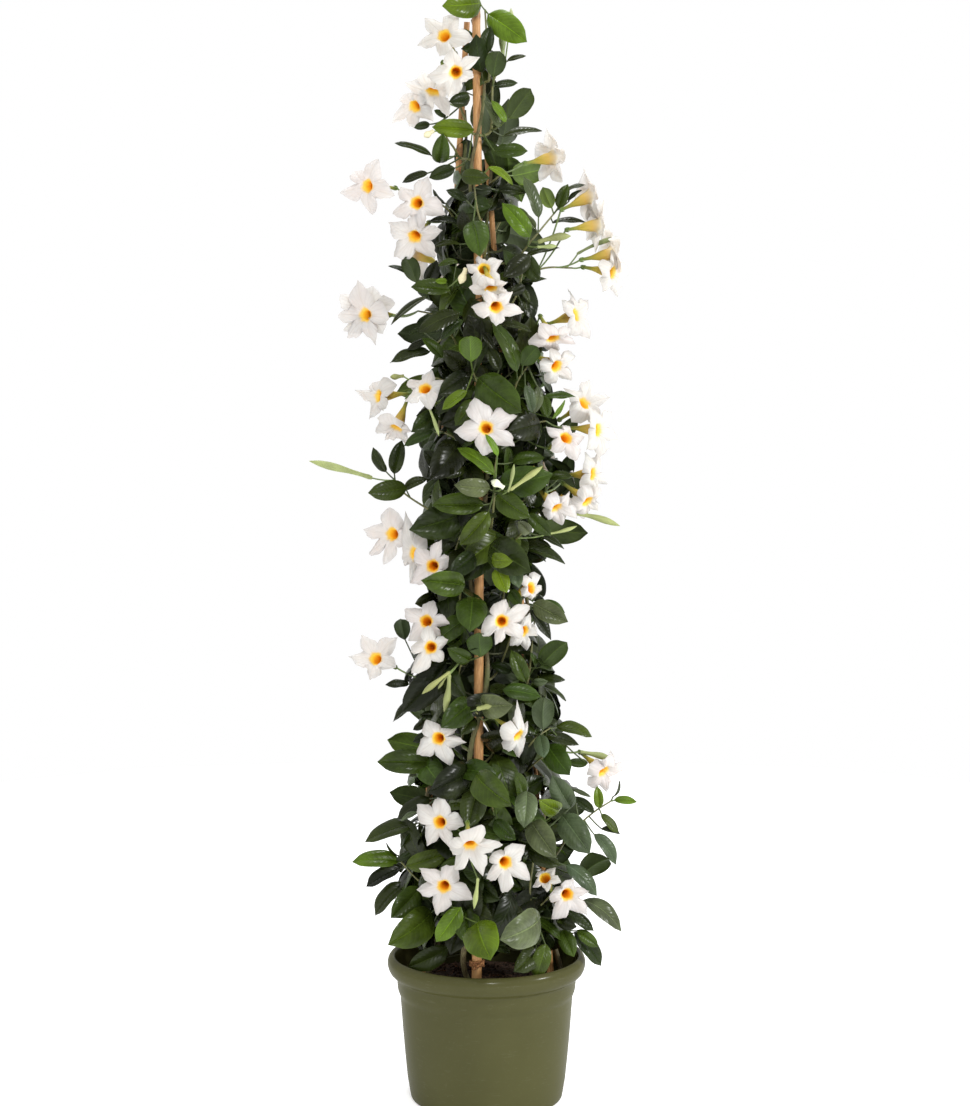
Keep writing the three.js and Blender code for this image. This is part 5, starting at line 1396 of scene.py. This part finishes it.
def leaving_point(centres, base, run):
    """The place on a twig that a leaf, bud or flower leaves from: near its base, and behind it."""
    best, least = None, math.inf
    for before, after in zip(centres[:-1], centres[1:]):
        for share in (0, 0.33, 0.67):
            point = after + (before - after) * share
            reach = base - point
            length = max(np.linalg.norm(reach), 1)
            cost = length * (1.6 - np.dot(reach, run) / length)
            if cost < least:
                best, least = point, cost
    return best


def build_spray(spray, places, order):
    root, shoulder = root_of(spray, places)
    line = [root, shoulder, *spray["stalk"]]
    curve = Curve(line)
    centres = curve.at(np.linspace(0, 1, len(line) + 1))
    piece = Piece()
    fine = curve.at(np.linspace(0, 1, TWIG_ROWS * len(line)))
    radii = np.linspace(TWIG_RADIUS, TWIG_TIP_RADIUS, len(fine))
    add_tube(piece, fine, radii, 8, "twig", TWIG_TINT)
    for i, item in enumerate(spray["items"]):
        if item["kind"] == "flower":
            run, base = item["normal"], item["centre"] - item["normal"] * TRUMPET_LENGTH
        else:
            run, base = unit(item["tip"] - item["base"]), item["base"]
        start = leaving_point(centres, base, run)
        GROW[item["kind"]](piece, item, start, 37.0 * order + 1.7 * i)
    piece.build(spray["name"] + "_look", spray["slot"], spray["name"])


PERCHES = perches()
for order, spray in enumerate(SPRAYS):
    build_spray(spray, PERCHES, order)

# The inner foliage fills the column behind the sprays. DENSE is the photograph's solid mass of
# leaves, as a row, its left edge and its right edge; BARE is where a cane shows.
DENSE = (
    (34, 474, 484),
    (60, 472, 490),
    (100, 462, 489),
    (130, 462, 490),
    (160, 466, 494),
    (180, 460, 505),
    (205, 454, 516),
    (225, 446, 530),
    (255, 438, 530),
    (280, 426, 528),
    (310, 422, 530),
    (340, 420, 540),
    (370, 432, 545),
    (400, 412, 556),
    (430, 418, 558),
    (460, 424, 562),
    (490, 430, 560),
    (520, 418, 545),
    (550, 428, 545),
    (580, 422, 540),
    (610, 430, 540),
    (640, 422, 540),
    (670, 412, 545),
    (700, 402, 555),
    (730, 412, 565),
    (760, 395, 560),
    (790, 415, 578),
    (820, 402, 590),
    (850, 400, 566),
    (880, 398, 575),
    (910, 392, 568),
    (935, 395, 572),
    (948, 405, 560),
)
BARE = (
    (462, 0, 486, 34),
    (467, 84, 483, 168),
    (488, 213, 501, 258),
    (466, 574, 486, 602),
    (466, 652, 486, 702),
    (464, 710, 486, 768),
    (517, 572, 532, 602),
    (518, 636, 533, 682),
    (522, 704, 542, 795),
    (462, 944, 486, 982),
    (546, 925, 562, 972),
)
# The solid part of the column from the other sides: height, middle and radius.
CORE = (
    (150, 0, 100),
    (300, 4, 98),
    (450, 2, 84),
    (600, 4, 78),
    (800, 2, 74),
    (900, -4, 60),
    (1000, -4, 46),
    (1100, -10, 30),
    (1170, -12, 16),
)
CELL = 9
LEVEL_SCALE = 0.9
LEVEL_FLOOR_ROW = PHOTO_HEIGHT - 10
LEVEL_DISTANCE = 3200
FLOWER_CLEARANCE = 15
FLOWER_SPREAD = 24
FLOWER_HALO = 25
LEAF_HALO = 0.30
NEARER = 3
FAR_SIDE = 20
SOIL_CLEARANCE = 10
RIM_CLEARANCE = 14
RIM_INSIDE = 86
BARE_DEPTH = 15
FILL_ROWS, FILL_COLUMNS = 9, 5
# Stalks of the inner foliage are tinted darker than the sprays' twigs: painted shade for the inside
# of the column.
FILL_TWIG_TINT = (0.05, 0.055, 0.02)
LONG_STALK = 25


class View:
    """What covers what, seen from one side: the photograph's own view, or a level one."""

    def __init__(self, azimuth=None):
        self.azimuth = azimuth
        self.depth = np.full((PHOTO_HEIGHT, PHOTO_WIDTH), math.inf)

    def place(self, point):
        if self.azimuth is None:
            return project(point)
        sight = around(self.azimuth, 1, 0)
        aside = around(self.azimuth + 90, 1, 0)
        column = PHOTO_WIDTH / 2 + LEVEL_SCALE * np.dot(point, aside)
        row = LEVEL_FLOOR_ROW - LEVEL_SCALE * point[2]
        return np.array([column, row, LEVEL_DISTANCE - np.dot(point, sight)])

    def hides(self, column, row, far):
        return self.depth[int(row), int(column)] < far

    def cover(self, base, tip, across):
        """Mark what an oval blade hides."""
        foot, head = self.place(base), self.place(tip)
        wing = self.place((base + tip) / 2 + across) - self.place((base + tip) / 2)
        run = head - foot
        area = run[0] * wing[1] - run[1] * wing[0]
        if abs(area) < 4:
            return
        corners = np.array([foot - wing, foot + wing, head - wing, head + wing])
        x0, y0 = np.maximum(np.floor(corners.min(axis=0)[:2]).astype(int), 0)
        x1, y1 = np.ceil(corners.max(axis=0)[:2]).astype(int) + 1
        x1, y1 = min(x1, PHOTO_WIDTH), min(y1, PHOTO_HEIGHT)
        if x0 >= x1 or y0 >= y1:
            return
        y, x = np.mgrid[y0:y1, x0:x1]
        dx, dy = x - foot[0], y - foot[1]
        along = (dx * wing[1] - dy * wing[0]) / area
        side = (run[0] * dy - run[1] * dx) / area
        half = np.sqrt(np.clip(4 * along * (1 - along), 0, 1))
        inside = (along > 0) & (along < 1) & (np.abs(side) < half)
        part = self.depth[y0:y1, x0:x1]
        far = foot[2] + along * run[2] + side * wing[2]
        part[inside] = np.minimum(part[inside], far[inside])


def cover_item(view, item):
    """A leaf hides what is behind its blade, and a flower what is behind a round one."""
    if item["kind"] == "leaf":
        view.cover(item["base"], item["tip"], item["across"] * item["half"])
    elif item["kind"] == "flower":
        aside = unit(np.cross(item["normal"], UP))
        above = np.cross(aside, item["normal"]) * FLOWER_SPREAD
        view.cover(item["centre"] - above, item["centre"] + above, aside * FLOWER_SPREAD)


# The flowers of the far side don't count from the front, so that leaves grow before them.
FRONT = View()
SIDES = [View(azimuth) for azimuth in (0, 45, 90, 135, 180)]
for spray in SPRAYS:
    for view in SIDES if spray["name"].startswith("back_truss") else [FRONT, *SIDES]:
        for item in spray["items"]:
            cover_item(view, item)


def items_of(kind):
    return [item for spray in SPRAYS for item in spray["items"] if item["kind"] == kind]


def span_seen(item):
    return np.linalg.norm(project(item["tip"])[:2] - project(item["base"])[:2])


FLOWERS = np.array([item["centre"] for item in items_of("flower")])
FLOWER_PIXELS = np.array([project(place) for place in FLOWERS if place[1] < FAR_SIDE])
LEAVES = items_of("leaf")
LEAF_PIXELS = np.array([project((item["base"] + item["tip"]) / 2) for item in LEAVES])
LEAF_SPANS = np.array([LEAF_HALO * span_seen(item) for item in LEAVES])


def in_dense(x, y):
    rows, lefts, rights = zip(*DENSE)
    if not rows[0] <= y <= rows[-1]:
        return False
    return np.interp(y, rows, lefts) <= x <= np.interp(y, rows, rights)


def in_bare(x, y):
    return any(x0 < x < x1 and y0 < y < y1 for x0, y0, x1, y1 in BARE)


def core_at(height):
    heights, middles, reaches = zip(*CORE)
    return np.interp(height, heights, middles), np.interp(height, heights, reaches)


def before_any(pixels, reach, x, y, far):
    """Whether a place lies in front of any of the pixels' places, within reach of it as seen."""
    near = np.hypot(pixels[:, 0] - x, pixels[:, 1] - y) < reach
    return np.any(near & (far < pixels[:, 2] + NEARER))


def fits(base, tip, room):
    """Whether a leaf of the inner foliage may grow here."""
    for share in (0.0, 0.25, 0.5, 0.75, 1.0):
        point = base + (tip - base) * share
        if np.min(np.linalg.norm(FLOWERS - point, axis=1)) < FLOWER_CLEARANCE:
            return False
        radius = math.hypot(point[0], point[1])
        if point[2] < SOIL_LEVEL + SOIL_CLEARANCE:
            return False
        if point[2] < POT_HEIGHT + RIM_CLEARANCE and radius > RIM_INSIDE:
            return False
        x, y, far = project(point)
        if not in_dense(x, y) and share > 0.2:
            return False
        if in_bare(x, y) and far < BARE_DEPTH - CAMERA[1]:
            return False
        if before_any(FLOWER_PIXELS, FLOWER_HALO, x, y, far):
            return False
        if before_any(LEAF_PIXELS, LEAF_SPANS * room, x, y, far):
            return False
    return True


BANDS = (("low", 0), ("middle", 380), ("upper", 640), ("top", 880))
# How many leaves are tried for each gap, and where the gaps are looked for.
CANE_TRIES, FRONT_TRIES, SIDE_TRIES = 14, 8, 5
CANE_FROM, CANE_BELOW_TOP, CANE_SPACING = 165, 25, 7
FRONT_ROWS, FRONT_COLUMNS = (40, 950), (390, 600)
SIDE_HEIGHTS, SIDE_REACH = (160, 1170), 110
SIDE_MARGIN = 12
FOLIAGE = {name: Piece() for name, _ in BANDS}
HOLDS = [point for point, _, _ in PERCHES]


def from_axis(point):
    return unit(point * (1, 1, 0) + 1e-6)


def grow(base, tip, seed):
    """A leaf of the inner foliage, on a stalk from the nearest stem or twig."""
    run = unit(tip - base)
    length = np.linalg.norm(tip - base)
    outward, rise = 0.4 + scatter(seed + 0.21), 0.3 + scatter(seed + 0.22)
    hint = unit(from_axis(base) * outward + UP * rise)
    across = turned(unit(np.cross(run, hint)), run, 0.8 * (scatter(seed + 0.23) - 0.5))
    half = length * (0.22 + 0.06 * scatter(seed + 0.24))
    # The inner leaves take only the dark tones: painted shade for the inside of the column.
    tone = (black, dark, dark, deep)[int(4 * scatter(seed + 0.25))]
    band = [name for name, floor in BANDS if base[2] >= floor][-1]
    item = dict(kind="leaf", base=base, tip=tip, across=across, half=half)
    add_blade(FOLIAGE[band], item, vary(TONES[tone], seed), seed, FILL_ROWS, FILL_COLUMNS)
    holds = np.array(HOLDS)
    reach = base - 6 * run - holds
    cost = np.linalg.norm(reach, axis=1) + 0.5 * np.maximum(0, -reach[:, 2])
    start = holds[np.argmin(cost)]
    away = np.linalg.norm(base - start)
    line = curved(start, base + run, -UP + 0.3 * run, 0.10 * away, 6)
    thick = 0.75 if away < LONG_STALK else 1.05
    add_tube(FOLIAGE[band], line, np.linspace(thick, 0.7, 6), 5, "twig", FILL_TWIG_TINT)
    if away > LONG_STALK:
        HOLDS.extend([line[2], line[4]])
    for view in [FRONT, *SIDES]:
        cover_item(view, item)


def leaf_about(middle, seed):
    """A leaf's base and tip with its middle at a place, turned outwards and mostly upwards."""
    outward = from_axis(middle)
    spin = 2 * math.pi * scatter(seed + 0.31)
    run = math.cos(spin) * np.cross(UP, outward) + math.sin(spin) * UP
    run = unit(run + outward * (0.2 + 0.7 * scatter(seed + 0.32)))
    length = 40 + 26 * scatter(seed + 0.33)
    base, tip = middle - run * length / 2, middle + run * length / 2
    if np.linalg.norm(base[:2]) > np.linalg.norm(tip[:2]) + 12:
        base, tip = tip, base
    return base, tip


def fill_gap(view, gap, middle_at, tries, seed, room=1.0):
    """Grow leaves about a gap, given as a view's column, row and depth, until one covers it."""
    for attempt in range(tries):
        if view.hides(*gap):
            return
        key = seed + 7.7 * attempt
        base, tip = leaf_about(middle_at(scatter(key)), key)
        if fits(base, tip, room):
            grow(base, tip, key)


def cover_cane(side, cane):
    """Leaves in front of a cane, where the photograph doesn't show it."""
    heights = np.arange(CANE_FROM, cane.top[2] - CANE_BELOW_TOP, CANE_SPACING)
    for step, height in enumerate(heights):
        pole = cane.at(height) - np.array([0, cane.radius_at(height), 0])

        def before_pole(share):
            return pole + np.array([9 * (share - 0.5), -8 - 14 * share, 10 * (share - 0.5)])

        gap = project(pole)
        if not in_bare(*gap[:2]):
            seed = 300 + 200 * len(side) + step
            fill_gap(FRONT, gap, before_pole, CANE_TRIES, seed, 0.8)


def fill_front():
    """Every gap in the mass of leaves, as the photograph's camera sees it."""
    rows, columns = range(*FRONT_ROWS, CELL), range(*FRONT_COLUMNS, CELL)
    cells = [(x, y) for y in rows for x in columns if in_dense(x, y)]
    cells.sort(key=lambda cell: scatter(cell[0] * 0.37 + cell[1] * 1.93))
    for order, (x, y) in enumerate(cells):

        def middle_at(share):
            return spot(x, y, 0.75 * share - 0.35)

        fill_gap(FRONT, (x, y, math.inf), middle_at, FRONT_TRIES, 2000 + order)


def fill_side(turn, view):
    """The gaps that a level view sees in the column's solid part."""
    rows, columns = range(*SIDE_HEIGHTS, CELL + 2), range(-SIDE_REACH, SIDE_REACH + 1, CELL + 2)
    cells = [(x, z) for z in rows for x in columns]
    cells.sort(key=lambda cell: scatter(cell[0] * 0.53 + cell[1] * 1.37 + turn))
    sight, aside = around(view.azimuth, 1, 0), around(view.azimuth + 90, 1, 0)
    for order, (x, z) in enumerate(cells):
        centre, reach = core_at(z)
        centre = centre * aside[0]
        if abs(x - centre) > reach - SIDE_MARGIN:
            continue
        span = math.sqrt(reach**2 - (x - centre) ** 2)

        def middle_at(share):
            return aside * x + UP * z + sight * span * (0.1 + 0.8 * share)

        column, row, _ = view.place(aside * x + UP * z)
        gap = (column, row, LEVEL_DISTANCE)
        fill_gap(view, gap, middle_at, SIDE_TRIES, 5000 + 900 * turn + order)


for side, cane in CANES.items():
    cover_cane(side, cane)
fill_front()
for turn, view in enumerate(SIDES):
    fill_side(turn, view)
for name, piece in FOLIAGE.items():
    piece.build(f"foliage_{name}", "leaf", None)

CANE_JOINT = {"front": 165, "left": 190, "right": 150}
CANE_STEP = 3.0
CANE_SIDES = 16
CANE_HOLLOW = ((0.2, 0.55), (5, 0.45))
CANE_BULGE = 0.10
STEM_SIDES = 10
TWINE_RADIUS = 1.25
TWINE_TURNS = 3
TWINE_STEPS = 90
TWINE_OFF = 1.7
TIE_KNOT = (0.5, 1.6, 2.0, 2.1, 1.9, 1.5, 0.5)
SOIL_RADIUS = 95.2
SOIL_RINGS = 44
SOIL_SIDES = 120
SOIL_CRUMBS = 420
SOIL_ROOTS = 26
SOIL_FOOT = ((81.0, POT_FLOOR + GAP), (91.5, 109))
SOIL_EDGE = 3
CRUMB_RADII = np.array([0.35, 0.85, 1.0, 0.8, 0.3])
ROOT_STEPS = 9
ROOT_STRIDE = 2.6
ROOT_TINT = (3.2, 2.6, 2.2)
WHITE = (1, 1, 1)


def build_stem(side, vine):
    shares = np.linspace(0, 1, 6 * len(vine.curve.points))
    knots = [noise.noise(Vector((7 * share + len(side), 40 * share, 0))) for share in shares]
    radii = vine.radius_at(shares) * (1 + 0.10 * np.array(knots))
    piece = Piece()
    add_tube(piece, vine.curve.at(shares), radii, STEM_SIDES, "bark", WHITE)
    piece.build(f"stem_{side}_look", "vine", f"stem_{side}")


def build_cane(side, cane):
    """A pole that swells at a joint every so often, with a hollow top."""
    low, high = SOIL_LEVEL - CANE_DEPTH, cane.top[2]
    heights = np.append(np.arange(low, high, CANE_STEP), high)
    from_joint = (heights - low + 40 * len(side)) % CANE_JOINT[side]
    near = np.minimum(from_joint, CANE_JOINT[side] - from_joint)
    bulge = 1 + CANE_BULGE * np.exp(-((near / 4) ** 2))
    radii = np.array([cane.radius_at(height) for height in heights]) * bulge * 0.985
    line = np.array([cane.at(height) for height in heights])
    rings = list(tube_rings(line, radii, CANE_SIDES))
    for depth, share in CANE_HOLLOW:
        point = line[-1] - UP * depth
        rings.append(tube_rings([point, point + UP], [share * radii[-1]] * 2, CANE_SIDES)[0])
    marks = np.zeros((len(rings), CANE_SIDES, 3))
    marks[:, :, 0] = np.arange(CANE_SIDES) / CANE_SIDES
    marks[: len(line), :, 1] = np.exp(-((near / 3) ** 2))[:, None]
    marks[len(line) :, :, 2] = 1
    piece = Piece()
    piece.add(rings, ring_faces(len(rings), CANE_SIDES), "bamboo", marks, WHITE)
    piece.build(f"cane_{side}_look", "cane", f"cane_{side}")


def build_tie(cane):
    """The binding: a few turns of twine and a knot."""
    middle = cane.at(SOIL_LEVEL + TIE_HEIGHT)
    inner = cane.radius_at(middle[2]) + TWINE_OFF
    coil = []
    for angle in np.linspace(0, 2 * math.pi * TWINE_TURNS, TWINE_STEPS):
        turn = (inner * math.cos(angle), inner * math.sin(angle), -3 + angle * 0.32)
        coil.append(middle + turn)
    piece = Piece()
    add_tube(piece, coil, np.full(len(coil), TWINE_RADIUS), 8, "twine", WHITE)
    for lump in range(3):
        angle = -1.9 + 0.5 * lump
        reach = inner * 1.1
        start = middle + (reach * math.cos(angle), reach * math.sin(angle), -3.5 + 2.5 * lump)
        knot = curved(start - (2.5, 0.5, 1), start + (2.5, -0.5, 1.5), (0, -1, 0), 1.2, 7)
        add_tube(piece, knot, TIE_KNOT, 8, "twine", WHITE)
    piece.build("tie_look", "tie", "tie")


def circle(radius, sides, height_at):
    """Points round a circle, each at the height that its place gives."""
    ring = []
    for j in range(sides):
        angle = 2 * math.pi * j / sides
        x, y = radius * math.cos(angle), radius * math.sin(angle)
        ring.append((x, y, height_at(x, y)))
    return ring


def soil_height(x, y):
    radius = math.hypot(x, y)
    mound = SOIL_LEVEL + SOIL_MOUND * max(0, 1 - (radius / SOIL_RADIUS) ** 2)
    place = Vector((x, y, 0))
    rough = noise.noise(place * 0.035) * 3.0 + noise.noise(Vector((x, y, 5)) * 0.13) * 1.6
    return mound + rough * min(1, (SOIL_RADIUS - radius) / 6 + 0.3)


def add_crumb(piece, crumb):
    radius = (SOIL_RADIUS - SOIL_EDGE) * math.sqrt(scatter(crumb + 0.1))
    angle = 2 * math.pi * scatter(crumb + 0.2)
    size = 0.8 + 2.2 * scatter(crumb + 0.3) ** 3
    x, y = radius * math.cos(angle), radius * math.sin(angle)
    centre = np.array([x, y, soil_height(x, y) + 0.3 * size])
    lean = unit(np.array([scatter(crumb + 0.4) - 0.5, scatter(crumb + 0.5) - 0.5, 0.6]))
    line = curved(centre - lean * size, centre + lean * size, (1, 0, 0), 0.1, 5)
    shade = 0.5 + 1.3 * scatter(crumb + 0.6)
    add_tube(piece, line, CRUMB_RADII * size, 6, "soil", (shade,) * 3)


def add_root(piece, root):
    radius = 80 * math.sqrt(scatter(root + 0.7))
    angle = 2 * math.pi * scatter(root + 0.8)
    heading = 2 * math.pi * scatter(root + 0.9)
    x, y = radius * math.cos(angle), radius * math.sin(angle)
    line = []
    for step in range(ROOT_STEPS):
        heading += 0.9 * (scatter(root + 0.05 * step) - 0.5)
        x, y = x + ROOT_STRIDE * math.cos(heading), y + ROOT_STRIDE * math.sin(heading)
        if math.hypot(x, y) > SOIL_RADIUS - SOIL_EDGE:
            break
        line.append((x, y, soil_height(x, y) + 0.5 + 0.8 * math.sin(step * 0.8)))
    if len(line) > 3:
        add_tube(piece, line, np.linspace(0.8, 0.35, len(line)), 6, "soil", ROOT_TINT)


def build_soil():
    """An uneven mound down to the pot's floor, with crumbs and roots on it."""
    piece = Piece()
    rings = [circle(radius, SOIL_SIDES, lambda x, y: height) for radius, height in SOIL_FOOT]
    for i in range(SOIL_RINGS, 0, -1):
        rings.append(circle(SOIL_RADIUS * i / SOIL_RINGS, SOIL_SIDES, soil_height))
    marks = np.zeros((len(rings) * SOIL_SIDES, 3))
    piece.add(rings, ring_faces(len(rings), SOIL_SIDES), "soil", marks, WHITE)
    for crumb in range(SOIL_CRUMBS):
        add_crumb(piece, crumb)
    for root in range(SOIL_ROOTS):
        add_root(piece, root)
    piece.build("soil_look", "soil", "soil", 60)


# The pot: under its base, up its outside over the rolled lip, then down its inside.
POT_PROFILE = (
    (76, 0),
    (77, 1.2),
    (79, 1.2),
    (80.2, 0),
    (81, 0),
    (83.4, 1.0),
    (84.5, 3.2),
    (85.4, 8),
    (88.0, 24),
    (90.6, 50),
    (93.1, 80),
    (95.3, 111),
    (95.6, 116),
    (95.9, 118),
    (96.8, 119.6),
    (98.2, 123.6),
    (98.8, 126.4),
    (99.2, 132),
    (99.6, 137),
    (100.1, 138.8),
    (101.6, 140.2),
    (104.4, 141.8),
    (107.0, 144.4),
    (108.8, 148),
    (109.8, 152),
    (109.9, 155.5),
    (109.0, 159),
    (107.4, 161.6),
    (105.6, 163.1),
    (104.2, 163.5),
    (102.8, 163.0),
    (101.6, 161.4),
    (100.6, 157),
    (99.8, 148),
    (98.6, 138),
    (97.4, 128),
    (93.6, 114),
    (90.4, 70),
    (85.9, 24),
    (82.4, 4.5),
    (80, POT_FLOOR),
)
POT_SIDES = 144
POT_CREASE = 35


def drain_holes():
    """Rods that stand where the drain holes go, as an object to cut with."""
    rods = Piece()
    for hole in range(DRAIN_COUNT):
        centre = around(360 * hole / DRAIN_COUNT, DRAIN_CIRCLE, 0)
        rod = [centre - UP * 5, centre, centre + UP * 6]
        add_tube(rods, rod, [DRAIN_RADIUS] * 3, 24, "pot", WHITE)
    mesh = bpy.data.meshes.new("drain_cutter")
    mesh.from_pydata((np.concatenate(rods.points) * MM).tolist(), [], rods.faces)
    return add_object("drain_cutter", mesh)


def build_pot():
    shell = Piece()
    turn = 2 * math.pi * np.arange(POT_SIDES) / POT_SIDES
    rings = [
        np.stack([radius * np.cos(turn), radius * np.sin(turn), np.full(POT_SIDES, height)], -1)
        for radius, height in POT_PROFILE
    ]
    marks = np.zeros((len(rings) * POT_SIDES, 3))
    shell.add(rings, ring_faces(len(rings), POT_SIDES), "pot", marks, WHITE)
    pot = shell.build("pot_look", "pot", "pot", POT_CREASE)
    cutter = drain_holes()
    cut = pot.modifiers.new("drains", "BOOLEAN")
    cut.operation, cut.solver, cut.object = "DIFFERENCE", "EXACT", cutter
    bpy.context.view_layer.update()
    solved = pot.evaluated_get(bpy.context.evaluated_depsgraph_get())
    holed = bpy.data.meshes.new_from_object(solved)
    pot.modifiers.clear()
    pot.data = holed
    bpy.data.objects.remove(cutter)


for side, vine in VINES.items():
    build_stem(side, vine)
for side, cane in CANES.items():
    build_cane(side, cane)
build_tie(CANES["front"])
build_soil()
build_pot()

# Floor, light and camera.
FLOOR_RADIUS = 1.9
FLOOR_SIDES = 20
AIM = (0, 0, 0.6)
# Name, place in metres, width and power.
LIGHTS = (
    ("key", (2.4, -0.8, 1.5), 0.35, 44),
    ("fill", (0.3, -2.8, 2.0), 0.3, 34),
    ("top", (-0.2, 0.4, 2.9), 0.4, 24),
)


def build_floor():
    mesh = bpy.data.meshes.new("floor")
    edge = circle(FLOOR_RADIUS, FLOOR_SIDES, lambda x, y: 0)
    mesh.from_pydata(edge, [], [tuple(range(FLOOR_SIDES))])
    mesh.materials.append(floor_material())
    add_object("floor", mesh)


def area_light(name, place, size, power):
    data = bpy.data.lights.new(name, "AREA")
    data.energy, data.size = power, size
    lamp = add_object(name, data)
    lamp.location = place
    lamp.rotation_euler = (Vector(AIM) - Vector(place)).to_track_quat("-Z", "Y").to_euler()


def build_studio():
    world = bpy.data.worlds.new("studio")
    world.use_nodes = True
    background = world.node_tree.nodes["Background"]
    background.inputs["Color"].default_value = (1, 1, 1, 1)
    background.inputs["Strength"].default_value = 1.0
    bpy.context.scene.world = world
    bpy.context.scene.view_settings.view_transform = "Standard"


def build_camera():
    lens = bpy.data.cameras.new("camera")
    lens.sensor_width = SENSOR
    lens.lens = FOCAL_PIXELS / PHOTO_HEIGHT * SENSOR
    lens.clip_end = 50
    camera = add_object("camera", lens)
    camera.location = Vector(CAMERA) * MM
    camera.rotation_euler = (math.pi / 2 - CAMERA_PITCH, 0, 0)
    bpy.context.scene.camera = camera


build_floor()
for name, place, size, power in LIGHTS:
    area_light(name, place, size, power)
build_studio()
build_camera()
